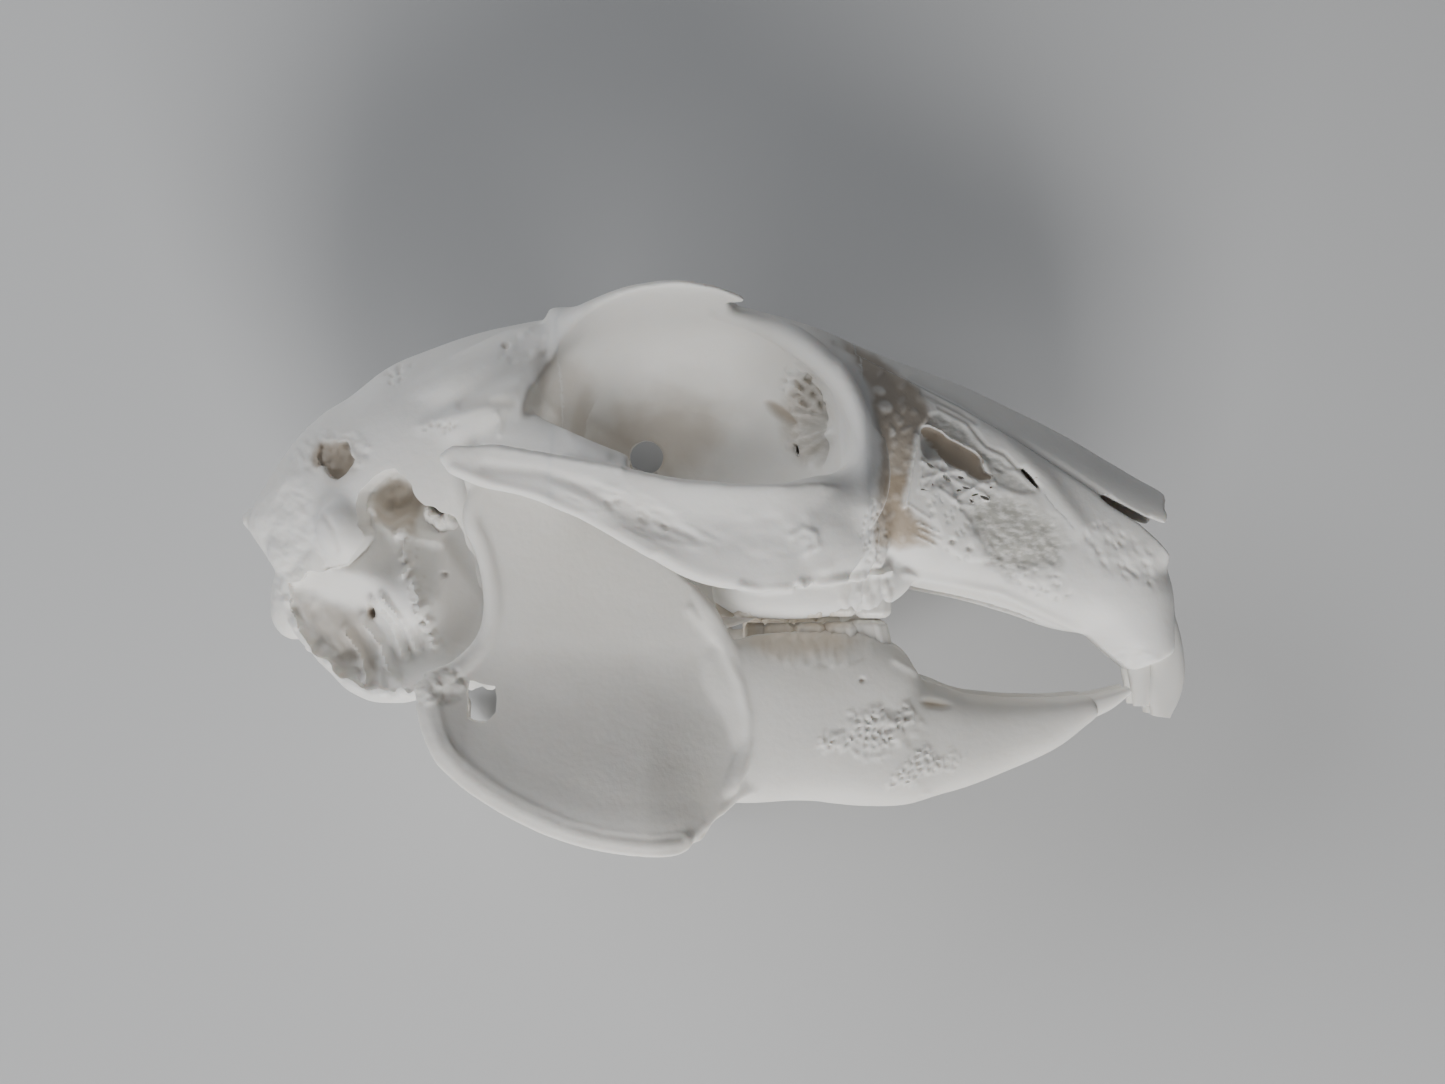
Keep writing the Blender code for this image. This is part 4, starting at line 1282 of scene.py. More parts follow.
def socket_marks() -> list[Mark]:
    """The eye socket, the cheek arch and the bone under them.

    Returns:
        The marks in the order of drawing.
    """
    tear = oval((8.7, 12), (4, 5.4), -14)
    # Marks that sink the skin and darken it paint shade into their pits and grooves.
    return [
        # The bowl of the eye socket is painted browner: partly the thin bone's own warm tone, partly
        # painted shade.
        Patch(oval((-7, 9.4), (9.4, 6.4), 15), stain_and_shade=0.46, soft=5.0, uneven=1.6, near=-1, far=11, seed=20),
        Patch(oval((-14.6, 13.4), (4, 6.4), 20), stain_and_shade=0.42, soft=3.0, uneven=1.0, near=3, far=14, seed=19),
        Line([(-12.5, 11.5), (-9.6, 9.4), (-7.6, 8.2)], width=0.6, height=-0.16, stain_and_shade=0.2, near=-1,
             far=12),
        Line([(-5.8, 10.6), (-2, 12.4), (2, 12)], width=0.9, height=0.12, near=0, far=12),
        Line([(-6.9, 10.2), (-5.2, 9.4), (-4.9, 7)], width=0.4, height=0.14, near=-1, far=12),
        Waves(oval((-3, 13.4), (9, 7)), size=2.4, stretch=1.6, turn=-10, height=0.10, soft=3.0, near=1,
              far=14, seed=18),
        # The floor of the tear hollow: the thin bone's brown and painted shade.
        Patch(tear, stain_and_shade=0.40, thin=0.4, soft=2.0, uneven=0.5, near=0, far=10, seed=27),
        *tear_folds(),
        # Painted shade: the pit and the crack below it are painted dark.
        Patch(oval((5.6, 12.2), (2.2, 0.9), -38), stain_and_shade=0.6, height=-0.5, soft=0.8, near=0, far=10),
        Patch(oval((7.1, 8.7), (0.35, 0.7), 10), height=-0.9, stain_and_shade=1.0, soft=0.25, near=0, far=9),
        Line([(11.6, 16.6), (13.2, 12.6), (13.8, 8), (13.6, 3.6)], width=1.0, height=0.25, near=6),
        Holes(oval((14.6, 0.6), (1.9, 3.8), 5), size=0.62, height=-0.12, stain_and_shade=0.16, rough=0.5, soft=1.2,
              uneven=0.8, near=6, seed=21),
        Line([(6.6, 0.6), (7.6, 1.3), (8.8, 0.8), (9, -0.4), (8, -1)], width=0.35, height=0.18, near=10),
        Patch(oval((7.8, 0.2), (0.8, 0.6)), height=0.12, soft=0.6, near=10),
        Line([(1.7, -4.1), (4, -4.6), (6.5, -4.4)], width=0.35, height=0.35, near=8),
        Line([(7.4, -3.9), (11.6, -3.3), (15.8, -2.85)], width=0.30, height=0.62, near=5),
        Waves(oval((-8.2, 2.6), (9.4, 2.6), -22), size=0.5, stretch=4.0, turn=-22, height=0.12, rough=0.4,
              soft=1.4, near=15, seed=22),
        Patch(oval((-8, 2.8), (7.6, 1.5), -24), height=-0.22, soft=1.4, near=15),
        Holes(oval((-8.4, 2.8), (5.4, 1.2), -26), size=0.9, stretch=1.8, turn=-24, height=-0.16, stain_and_shade=0.1,
              soft=0.8, near=15, seed=23),
        Waves(oval((4.4, 0.6), (6.4, 3.2), -5), size=1.0, stretch=2.0, turn=-10, height=0.08, soft=1.6,
              near=10, seed=26),
        Line([(-26.6, 9), (-24, 9.5), (-17, 8.4), (-9.7, 7)], width=0.4, height=0.16, near=14),
        Line([(-25.6, 7), (-22, 5.6), (-17.3, 4.4), (-11.6, 1.4), (-6.8, -1.2)], width=0.5, height=0.22,
             near=14),
        Line([(-22.5, 7.2), (-17, 6.6), (-12, 5.2)], width=0.6, height=-0.2, near=14),
        Waves(oval((13.6, -4.8), (3, 2.2)), size=0.5, turn=80, stretch=2.4, height=0.26, stain_and_shade=0.3, near=3,
              seed=24),
    ]


def face_marks() -> list[Mark]:
    """The side of the snout: thin bone painted brown, partly its own colour and partly painted shade, the
    window's floor and the bars around it.

    Returns:
        The marks in the order of drawing.
    """
    thin = [
        (10.3, 19.7), (12.2, 20.1), (17.4, 16.1), (19.3, 14), (20.2, 11.8), (19.3, 10.8), (18.6, 9.7),
        (18.2, 6.8), (17.6, 4), (18.5, 2.9), (20.1, 1.4), (20.5, -0.4), (16.9, -0.9), (14.4, -0.6),
        (14.1, 2.1), (14.4, 5.9), (14.8, 9.7), (13.9, 13.5), (12, 17.1),
    ]
    low_thin = [
        (14.4, 7.6), (18.2, 7), (17.6, 4), (18.5, 2.9), (20.1, 1.2), (20.5, -0.4), (16.9, -0.9),
        (14.6, -0.6),
    ]
    bar = [
        (18.9, 5.3), (20.5, 5.9), (21.9, 5.7), (22.6, 4), (23.8, 1.9), (25.3, -0.4), (26.2, -1.9),
        (22.8, -2.1), (20.9, -0.9), (20.3, 1.1), (19.3, 3),
    ]
    band = [
        (19.4, 12.3), (20.7, 12.5), (23.2, 11), (24.9, 9), (26.8, 8), (27.9, 6.8), (26.4, 6.5), (25, 7.6),
        (22.6, 9.2), (20.5, 10.4), (19, 11),
    ]
    sheet = [(24.9, 8), (27.9, 6.7), (30.4, 4.6), (28.3, 4.4), (26, 5.3), (25.3, 6.1)]
    clear = [
        (22.8, 4.6), (25.5, 5.6), (29.6, 5), (32.4, 2.6), (34, -0.4), (32, -3.2), (27.4, -4), (24.6, -2.6),
        (22.4, 1.3),
    ]
    slit = [
        (18.7, 11.1), (19.8, 11.1), (20.8, 10.5), (21.9, 9.7), (23.3, 9), (24.7, 8.2), (25, 7.3),
        (24.9, 6.7), (25.8, 6.4), (25.7, 5.7), (25.1, 5.8), (24.3, 5.7), (22.6, 6.7), (21.6, 7.1),
        (20.5, 7.8), (19.1, 8), (18.7, 9.2),
    ]
    streaks = [(33.4, 2.2), (36.6, 2.6), (42, -1), (41.6, -5.2), (37, -4), (33.6, -1)]
    feathers = (
        [(18.5, 1.8), (20.5, 0.9)], [(18.7, 1.1), (20.7, 0.2)], [(18.5, 0.5), (20.3, -0.4)],
        [(19, 7.6), (18.6, 5)], [(17.7, 3.5), (19.8, 2.1)],
    )
    struts = (
        [(18.9, 7.7), (22.1, 5.8), (25.2, 4.4)], [(19.9, 8.2), (22, 6.9), (24.2, 5.7), (26, 4.9)],
        [(19, 6), (21.4, 6.7), (23.2, 6.6)], [(21.9, 4), (24, 5.3), (25.8, 5.7)],
        [(20.6, 5), (22.4, 3.6), (24, 3.4)], [(19.1, 4.8), (20.3, 6.4), (20.7, 7.6)],
    )
    # Marks that sink the skin and darken it paint shade into their pits and grooves.
    return [
        # The thin bone before the eye socket: its own translucent brown, and painted shade under the
        # socket's rim.
        Patch(thin, stain_and_shade=0.76, rough=0.15, soft=0.8, uneven=0.5, near=3, seed=30),
        Patch(low_thin, stain_and_shade=0.95, soft=1.0, uneven=0.6, near=3, seed=29),
        Holes(thin, size=1.4, reach=0.36, stain_and_shade=-0.16, height=0.05, soft=1.0, near=3, seed=31),
        Waves(thin, size=1.6, stretch=1.2, height=0.08, soft=1.0, near=3, seed=37),
        Patch(oval((14.8, 14.4), (0.9, 0.6), -20), stain_and_shade=-0.5, height=0.12, soft=0.5, uneven=0.2, near=3),
        Patch(oval((15.4, 12.9), (0.9, 0.7), -20), stain_and_shade=-0.5, height=0.12, soft=0.5, uneven=0.2, near=3),
        Patch(oval((16.1, 10.4), (0.5, 0.6)), stain_and_shade=-0.5, height=0.1, soft=0.4, near=3),
        Line([(18.4, 10.1), (17.9, 6.8), (17.3, 3.4)], width=0.2, height=0.35, stain_and_shade=-0.9, near=3),
        *[Line(feather, width=0.10, height=0.14, stain_and_shade=-0.6, near=3) for feather in feathers],
        Patch(bar, height=0.20, stain_and_shade=-0.4, soft=0.7, uneven=0.3, near=3, seed=36),
        Holes(bar, size=1.0, reach=0.26, turn=-52, stretch=1.8, height=-0.10, thin=0.8, soft=0.4, near=3,
              seed=32),
        Patch(oval((21.8, 0.1), (0.45, 0.36)), height=-0.4, thin=1.0, stain_and_shade=0.12, soft=0.35, near=3),
        Patch(oval((23.4, -0.6), (0.5, 0.36), -30), height=-0.3, thin=0.9, soft=0.35, near=3),
        Patch(band, height=-0.22, thin=0.7, soft=0.5, near=3),
        Waves(band, size=0.5, stretch=3.0, turn=-33, height=0.12, thin=0.8, soft=0.4, near=3, seed=38),
        Patch(sheet, height=-0.16, thin=0.55, soft=0.5, near=3),
        # Painted shade inside the slit.
        Patch(slit, stain_and_shade=0.85, soft=0.2, near=1, far=7.4),
        Patch(clear, thin=1.0, height=-0.30, soft=2.4, uneven=0.9, near=3, seed=39),
        Waves(clear, size=0.5, stretch=2.2, turn=-36, height=0.08, soft=1.4, near=3, seed=40),
        *[Line(strut, width=0.18, height=0.13, stain_and_shade=-0.3, near=3) for strut in struts],
        Line([(17.4, 15.1), (22, 12.6), (26.4, 9.9), (30.4, 6.2), (34, 1.6)], width=0.9, height=0.3,
             near=3),
        Line([(20.5, 12.7), (23.2, 11.3), (25.1, 9.1), (26.8, 8.3), (28.1, 6.9)], width=0.16, height=-0.14,
             stain_and_shade=0.20, near=3),
        Line([(18.8, 14), (22.4, 12.2), (24, 11.2)], width=0.18, height=-0.15, stain_and_shade=0.2, near=3),
        Line([(10.7, 18.9), (22.6, 13.2), (33.5, 6.3), (36.9, 4.1)], width=0.3, height=-0.14, stain_and_shade=0.12),
        Waves(streaks, size=0.55, stretch=2.6, turn=-50, height=0.13, soft=1.4, seed=33),
        Holes(streaks, size=0.85, stretch=2.2, turn=-50, reach=0.34, height=-0.12, stain_and_shade=0.08, soft=1.4,
              seed=33),
        Waves(oval((29.6, -3.1), (4.6, 2.4), -28), size=0.8, stretch=1.8, turn=-28, height=0.14, soft=1.4,
              seed=34),
        Holes(oval((29.6, -3.4), (4.4, 2), -28), size=0.9, reach=0.3, height=-0.12, thin=0.6, soft=1.0,
              seed=35),
        Line([(17.4, -3), (26.4, -4.8), (33.5, -8.1), (38.3, -11.3)], width=0.4, height=0.35),
        Line([(19, -4.4), (26.4, -6), (32.5, -8.8)], width=0.5, height=-0.25),
        Waves(oval((40, -11.6), (1.6, 3.4), 70), size=0.6, height=0.16, near=0, seed=36),
    ]


def jaw_marks() -> list[Mark]:
    """The outer face of the lower jaw.

    Returns:
        The marks in the order of drawing.
    """
    edge = [(-3, -6.4), (-0.1, -9.9), (1.7, -13.5), (2.4, -16.5), (2.4, -19.4), (1.1, -24.1), (-0.7, -27.1)]
    # Marks that sink the skin and darken it paint shade into their pits and grooves.
    return [
        Line(edge, width=0.5, height=0.22, near=5),
        Line([(-2.7, -28.8), (-1.7, -27.9), (-0.9, -27.2)], width=0.35, height=-0.25, stain_and_shade=0.2, near=5),
        Patch(oval((20.4, -15.4), (1.8, 0.85), -8), height=-0.32, stain_and_shade=0.62, soft=1.1, uneven=0.3, near=1,
              seed=46),
        Patch(oval((13.3, -13.1), (0.4, 0.35)), height=-0.25, stain_and_shade=0.2, soft=0.3, near=1),
        Web(oval((14, -18), (5.4, 2.4), 14), size=0.78, wall=0.34, height=0.22, soft=1.4, uneven=1.6,
            near=1, seed=41),
        Waves(oval((15.4, -18), (4.4, 2.4), 14), size=1.0, stretch=1.2, height=0.12, uneven=0.8, near=1,
              seed=42),
        Web(oval((19.4, -21.6), (4.6, 1.9), 16), size=0.7, wall=0.32, height=0.18, soft=1.4, uneven=1.5,
            near=1, seed=43),
        Waves(oval((-28, -13), (4, 2.6), -20), size=0.8, stretch=1.2, height=0.35, rough=0.6, near=5,
              seed=44),
        Waves(oval((-8, -14), (12, 9)), size=3.4, stretch=1.4, turn=40, height=0.10, soft=4.0, near=5,
              seed=45),
        Line([(16.4, -11.2), (20.4, -13.6), (28, -14.2), (36, -13.8)], width=0.35, height=0.2, near=1),
        # Painted shade on the jaw's upper part beside the lower cheek teeth.
        Patch(oval((7.6, -9.4), (6.8, 2.6)), stain_and_shade=0.42, soft=2.0, uneven=0.6, near=1, seed=47),
        Waves(oval((9, -10), (6, 2.2)), size=0.6, stretch=2.4, turn=85, height=0.14, near=1, seed=48),
    ]


@dataclass
class UpperSkull:
    """The upper skull, modelled whole: the nose roof is parted off it along its two sutures."""

    fineness: Fineness
    eye: float
    arch_out: float = 20.4
    arch_thickness: float = 1.5
    brow_heights: tuple[float, float] = (15.5, 21.5)
    slit_depth: float = 1.3
    wall_cutter: float = 9.0
    pit_depth: float = 0.7
    pit_scale: float = 0.958  # from where a pit is seen to where it lies on the wall
    crack_width: float = 0.09
    parts_at: tuple[float, float] = (-14.6, 12.6)
    suture: float = 0.03
    midline_gap: float = 0.12
    lap: float = 0.03
    core: Path = (
        # x, top, bottom, half width, belly, roof power, floor power
        (-44.2, 2.7, 0.5, 4.4, 0.60, 2.6, 2.2),
        (-42.6, 5.2, -1.8, 6.8, 0.60, 2.8, 2.2),
        (-40, 9.3, -5.6, 8.8, 0.56, 2.8, 2.2),
        (-37.6, 11.9, -8.2, 10.2, 0.50, 2.5, 2),
        (-34.6, 13.9, -9.2, 11.6, 0.50, 2.4, 1.9),
        (-31, 16.6, -9.6, 12.6, 0.50, 2.5, 1.8),
        (-26.8, 18.3, -9.2, 13.2, 0.52, 2.5, 1.8),
        (-22.4, 19.8, -8.2, 13, 0.54, 2.4, 1.8),
        (-18, 20.8, -7, 12, 0.58, 2.3, 1.8),
        (-14, 21.4, -5.6, 10.4, 0.62, 2.3, 1.8),
        (-9.5, 22, -4.2, 8.9, 0.70, 2.5, 1.7),
        (-4.5, 22.3, -3, 8.4, 0.72, 2.6, 1.6),
        (0.5, 22.4, -2.4, 8.8, 0.70, 2.6, 1.6),
        (4.5, 21.4, -2.4, 10.6, 0.60, 2.8, 1.7),
        (8.5, 20.2, -2.6, 12.2, 0.52, 2.8, 1.9),
        (12.5, 18.6, -3, 12, 0.46, 2.4, 2),
        (17, 16.9, -4.4, 10, 0.43, 2.1, 2.4),
        (22, 15.1, -5.4, 8.6, 0.42, 1.9, 2.9),
        (27, 12.8, -6.8, 7.5, 0.42, 2, 2.9),
        (32, 10.3, -8.4, 6.6, 0.42, 2.1, 2.6),
        (36, 8, -8.6, 5.9, 0.42, 2.2, 2.2),
        (39, 6.2, -6.8, 5.4, 0.45, 2.2, 2),
        (41.8, 4.6, -3, 4.6, 0.50, 2.2, 2),
    )
    ear_depth: float = 6.0
    ear_seen_at: float = 7.0
    ear_block: float = 10.4
    ear_outline: Path = (
        (-32.4, 2.7), (-32.3, 4), (-31.6, 5.2), (-30.4, 6.1), (-29.1, 6.3), (-28.2, 5.6), (-27.4, 4.5),
        (-26.5, 3.5), (-25.2, 3.1), (-23.9, 2), (-22.3, -1.6), (-21.2, -5.2), (-21.2, -8.4), (-22.9, -10.9),
        (-25.4, -12.4), (-28.5, -13.6), (-31.8, -13.7), (-34.8, -12.3), (-37.3, -10), (-39, -7.4),
        (-39.6, -5.2), (-39.2, -3.8), (-37, -2.5), (-34, -2.2), (-32.4, -0.9), (-31.8, 0.7),
    )
    ear_bone: Path = (
        (-33.9, 3.8), (-32.4, 7.3), (-29.3, 7.9), (-25.7, 4.7), (-22.4, 0.2), (-20.2, -5.3), (-20.2, -9.4),
        (-22, -12.1), (-25.7, -13.8), (-28.9, -14.7), (-31.9, -14.7), (-34.3, -13.6), (-36.9, -10.9),
        (-39.5, -8.2), (-40.6, -5.3), (-40.8, -3.3), (-39.1, -1.3), (-35.7, 0.2),
    )
    mastoid_window: Path = (
        (-36.6, 9.6), (-33.4, 9.2), (-32.4, 7.6), (-33.3, 5.9), (-35.4, 5.6), (-36.2, 7.2),
    )
    face_slit: Path = (
        (17.9, 10.6), (18.9, 10.6), (19.9, 10.1), (20.9, 9.3), (22.3, 8.6), (23.7, 7.8), (23.9, 7),
        (23.8, 6.5), (24.8, 6.1), (24.7, 5.5), (24, 5.6), (23.3, 5.5), (21.7, 6.5), (20.7, 6.8),
        (19.7, 7.5), (18.3, 7.6), (17.9, 8.8),
    )
    thin_slot: Path = (
        (26.9, 7), (27.7, 6.8), (28.5, 6), (29.2, 5), (29.6, 4.2), (28.9, 4.8), (28.1, 5.6), (27.3, 6.5),
    )
    crack: Path = ((29.5, 4.4), (30.6, 3), (31.6, 2.1), (32.3, 1.2))
    pits: Path = (
        # seen place of a pit's middle, half length, half width, turn
        (19.6, 7.2, 0.50, 0.20, -34), (21.2, 6.1, 0.55, 0.26, -48), (22.6, 6.1, 0.30, 0.16, -15),
        (19.1, 4.9, 0.45, 0.12, -8), (19.8, 5.4, 0.20, 0.12, -60), (22.4, 4.9, 0.24, 0.10, 12),
        (23.2, 5.1, 0.52, 0.17, -18), (24, 4.5, 0.40, 0.11, 16), (24.9, 4.2, 0.48, 0.20, -24),
        (25.5, 5.2, 0.18, 0.12, 0), (23.6, 3.9, 0.26, 0.14, -42), (20.6, 3.9, 0.34, 0.12, -58),
        (21.6, 3, 0.22, 0.14, -50), (20, 4.4, 0.16, 0.12, -30), (24.4, 5.7, 0.22, 0.08, -12),
    )
    nasal_cut: Path = (
        (12.2, 30), (12.2, 17.2), (16.3, 15.2), (21.8, 12.5), (27.3, 9.3), (32.4, 6), (35.6, 3.9),
        (46, -2.9),
    )

    def wall(self, x: np.ndarray, y: np.ndarray) -> np.ndarray:
        """The half width of the skull's long body at places in the side view.

        Args:
            x: How far along the skull each place is.
            y: How high it is.

        Returns:
            The half width at each place.
        """
        along, *sizes = np.array(self.core).T
        top, bottom, half, belly, roof, floor = (np.interp(x, along, size) for size in sizes)
        middle = bottom + belly * (top - bottom)
        upper = y > middle
        height = np.where(upper, top - middle, middle - bottom)
        power = np.where(upper, roof, floor)
        near = np.minimum(np.abs(y - middle) / height, 1.0)
        return half * (1 - near**power) ** (1 / power)

    def trunk(self) -> list[Thing]:
        """What the eye sockets are carved from.

        Returns:
            The closed masses.
        """
        brow_root = [
            (-27, 13.2, 8, 2, 2), (-22, 15.4, 8.8, 2.4, 2.4), (-18.4, 16.8, 9.3, 2.6, 2.8),
            (-15.4, 17.2, 9.9, 2.4, 3), (-13.4, 17.5, 10.4, 1.8, 2.8),
        ]
        snout = [
            (24, 0.2, 0, 5.4, 6.6), (30, -0.4, 0, 6.6, 6.4), (34.2, -2.4, 0, 6.3, 6.2),
            (37.4, -5, 0, 5.4, 5.6), (39.2, -8.2, 0, 4, 4.8), (40.6, -11.2, 0, 2.7, 4),
        ]
        nape = [
            (-34, 10.6, 0, 2, 4), (-37.4, 9.6, 0, 1.4, 4.6), (-39.4, 8.8, 0, 0.8, 4.6),
            (-41.7, 5.4, 0, 0.7, 4.4), (-43.6, 2.4, 0, 0.7, 3.8), (-42.8, 0.6, 0, 0.7, 3.6),
        ]
        skull_floor = [
            (-39, -8.2, 0, 2.4, 4.5), (-32, -8.6, 0, 2.2, 5.2), (-24, -7.6, 0, 2.4, 4.6),
            (-15, -5.6, 0, 2.6, 4), (-6, -4, 0, 2.8, 3.8), (2, -3, 0, 2.4, 5),
        ]
        ear_bed = [
            (-38.4, -4.6, 5.4, 2.4, 2.4), (-36, -8.4, 6.2, 2.3, 2), (-33.2, -11.3, 7.2, 2, 1.6),
            (-30.6, -12.7, 8.2, 1.7, 1.2), (-27.8, -13, 9.4, 1.5, 0.9),
        ]
        temple = [
            (-26.2, 9.2, 10.9, 1.9, 1.7), (-21.6, 10.6, 12.1, 2.3, 2.1), (-17.8, 12, 13, 2.5, 2.4),
            (-15.2, 10.5, 14.4, 2.4, 2.4), (-13, 8.2, 15.8, 2.1, 2.3), (-10.4, 6.9, 17.2, 1.5, 1.9),
        ]
        temple_wall = [
            (-28, 11.4, 9.2, 2.8, 2.4), (-23, 13.2, 10, 3.4, 2.8), (-18.8, 14.6, 10.4, 3.4, 3),
            (-15.4, 14, 11, 2.8, 2.8),
        ]
        things = [
            body_loft("core", self.core),
            sweep("snout", snout, power=2.3),
            sweep("nape", nape, power=3),
            sweep("skull_floor", skull_floor, power=2.6),
            lump("nape_tip", (-43.7, 2.2, 0), (1.7, 1.3, 4.2)),
        ]
        for side in Side:
            things += [
                self.brow(side),
                lump("condyle", (-39.9, -5.4, 4.6), (2.1, 3.7, 2.2), side, (0, 18, 0)),
                *sweeps({"ear_bed": ear_bed, "temple": temple, "temple_wall": temple_wall}, side),
                lump("nape_corner", (-38.6, -0.8, 6.2), (3.2, 3, 3), side),
                sweep("brow_root", brow_root, side),
            ]
        return things

    def limbs(self, side: Side) -> list[Thing]:
        """The parts of one side that stand clear of the skull's body.

        Args:
            side: The side.

        Returns:
            The closed parts.
        """
        paths = {
            "arch_root": [
                (9, 0, 8.4, 3.4, 3), (10.4, 0, 12.4, 3.8, 2.6), (9.8, 0.3, 16.8, 4, 2.3),
                (6.4, 0.5, 19.4, 3.8, 1.4),
            ],
            "socket_rim": [
                (-0.6, 20.9, 9, 0.8, 1.4), (3, 19.9, 9.2, 1, 1.5), (6.4, 18.2, 10.2, 1.3, 1.6),
                (9.8, 15.2, 11.4, 1.2, 1.6), (11.9, 11.4, 12.2, 1.1, 1.7), (12.5, 7.5, 13.2, 1.3, 1.9),
                (11.4, 3.6, 15.6, 1.9, 2.2),
            ],
            "arch_front": [
                (13.2, 9, 11.6, 1.4, 2.2), (12.6, 5.6, 13.6, 2.3, 2.4), (10.6, 3.2, 16.4, 3.1, 2.2),
                (7.4, 2.2, 18.6, 3.4, 1.5), (3.2, 1.4, 19.6, 3.2, 0.9),
            ],
            "cheek": [
                (12.6, 10, 9.8, 1.3, 1.6), (13.2, 6, 9.6, 1.6, 1.9), (13.4, 1.6, 9.6, 1.9, 2.1),
                (12.8, -2, 9.4, 1.8, 2),
            ],
            "joint_root": [
                (-21, 9.8, 10.4, 3.4, 2.4), (-18.6, 8.6, 13.2, 3.4, 2.2), (-15.4, 7.6, 16.2, 2.8, 2),
                (-12.2, 6.8, 18.6, 2.2, 1.4), (-8, 6.2, 19.5, 1.2, 0.9),
            ],
        }
        tooth_bed = [
            (-0.6, -2.7, 6.6, 2.8, 2.4), (1.8, -2.8, 7, 4, 2.9), (6, -3, 7.3, 4.1, 3),
            (9.8, -2.8, 7, 4, 2.8), (13, -2.7, 6.5, 3.7, 2.5), (15, -2.3, 6, 3.1, 2),
            (16.4, -1.4, 5.4, 2, 1.6),
        ]
        pterygoid = [
            (4, -4.6, 4.6, 2, 1.3), (0.4, -5.4, 4.8, 2.6, 0.9), (-4, -6.2, 4.6, 2.8, 0.8),
            (-9, -7.6, 4.4, 2.2, 0.8), (-13, -9.4, 4.2, 0.9, 0.7),
        ]
        return [
            *self.arch(side),
            *sweeps(paths, side),
            sweep("tooth_bed", tooth_bed, side, 3.2),
            sweep("pterygoid", pterygoid, side, 2.6),
            lump("knob", (-33.9, 1, 11.2), (2.4, 2.9, 2.4), side, (0, 0, 15)),
        ]

    def arch(self, side: Side) -> list[Thing]:
        """The cheek arch: a tall plate on edge, hollowed on its outer face, with a free tip behind.

        Args:
            side: The side.

        Returns:
            The plate and its rim.
        """
        outline = [
            (-24.2, 7.2), (-23, 8.1), (-19, 8.2), (-10.3, 6.7), (-3.6, 5.4), (1.2, 5), (5, 5), (8.4, 5.2),
            (10.8, 4.8), (12, 2.6), (11.8, -0.6), (9.4, -2.6), (5.5, -4), (1.5, -4.1), (-1.9, -3.4),
            (-6.9, -0.9), (-12, 2.1), (-17.1, 4), (-20.5, 4.6), (-23, 5.7),
        ]
        rim = [
            (-23.2, 6.8, 20.2, 0.9, 0.9), (-17, 5, 20.2, 0.9, 0.9), (-12, 3, 20.1, 0.9, 1),
            (-6.9, 0.1, 20, 0.9, 1.1), (-1.9, -2.5, 19.8, 1, 1.1), (3.4, -3.2, 19.5, 0.9, 1.1),
            (9, -1.9, 18.6, 0.9, 1.1),
        ]
        half = self.arch_thickness / 2
        plate = prism("arch", outline, self.arch_out - half, self.arch_out + half, side)

        def bow(points: np.ndarray) -> np.ndarray:
            """Leans the plate out at its top, bows it and hollows its outer face.

            Args:
                points: Points of the plate.

            Returns:
                How far each one moves.
            """
            x, y, z = points.T
            hollow = 0.5 * np.exp(-(((x + 3) / 8) ** 2) - ((y - 1.6) / 2.2) ** 2)
            hollow = np.where(z * side.value > self.arch_out, hollow, 0)
            out = 0.07 * (y - 2.0) - 0.0010 * (x + 9) ** 2 - hollow - 0.075 * np.maximum(x - 4.5, 0) ** 2
            return columns(0, 0, side.value * out)

        return [bend(remesh(plate, self.fineness.bone), bow), sweep("rim", rim, side)]

    def brow(self, side: Side) -> Thing:
        """The plate over the eye socket, with a free tip before and behind.

        Args:
            side: The side.

        Returns:
            The closed plate.
        """
        outline = [
            (-15, 13.6), (-12.7, 15.3), (-8.7, 16), (-3.3, 16), (-0.2, 15), (2.3, 13.2), (1.8, 12.2),
            (0.2, 11.4), (1.6, 8.8), (3, 4), (-16.4, 4), (-15.9, 8.6), (-15.2, 11.4), (-14.8, 12.8),
        ]
        plate = prism("brow", outline, *self.brow_heights)
        swap = Matrix(((1, 0, 0, 0), (0, 0, 1, 0), (0, side.value, 0, 0), (0, 0, 0, 1)))
        plate.data.transform(swap)
        if side is Side.RIGHT:
            plate.data.flip_normals()

        def lift(points: np.ndarray) -> np.ndarray:
            """Raises the plate outwards and lets its two ends sag.

            Args:
                points: Points of the plate.

            Returns:
                How far each one moves.
            """
            x, _, z = points.T
            out = np.maximum(np.abs(z) - 7.0, 0)
            rise = 0.24 * out - 0.030 * (x + 4.0) ** 2 * np.minimum(out / 8, 1) - 0.008 * out**2
            return columns(0, rise, 0)

        return bend(remesh(plate, self.fineness.bone), lift)

    def socket(self, side: Side) -> Thing:
        """The bowl of the eye socket, open at the side and deepest at the optic hole.

        Args:
            side: The side.

        Returns:
            The closed cutter.
        """
        levels = [
            # z, centre x, centre y, half length, half height
            (0.7, -4.2, 8.3, 3.6, 2.4), (1.3, -3.8, 8.7, 7, 5.2), (2.6, -3.2, 9, 9.4, 7.8),
            (4.6, -2.8, 9.2, 11, 9.6), (7, -2.4, 9.2, 12.2, 10.8), (9.4, -2.6, 8.9, 13, 11.9),
            (12, -3, 8.7, 13.5, 12.9), (15, -3.4, 8.5, 14, 13.7), (20, -3.6, 8.3, 14.6, 14.3),
        ]
        rings = []
        for z, cx, cy, half_length, half_height in fair(levels, 5):
            turns = [rounded(2 * math.pi * i / 72, 2.2) for i in range(72)]
            rings.append([(cx + half_length * a, cy + half_height * b, z * side.value) for a, b in turns])
        return loft("socket", rings)

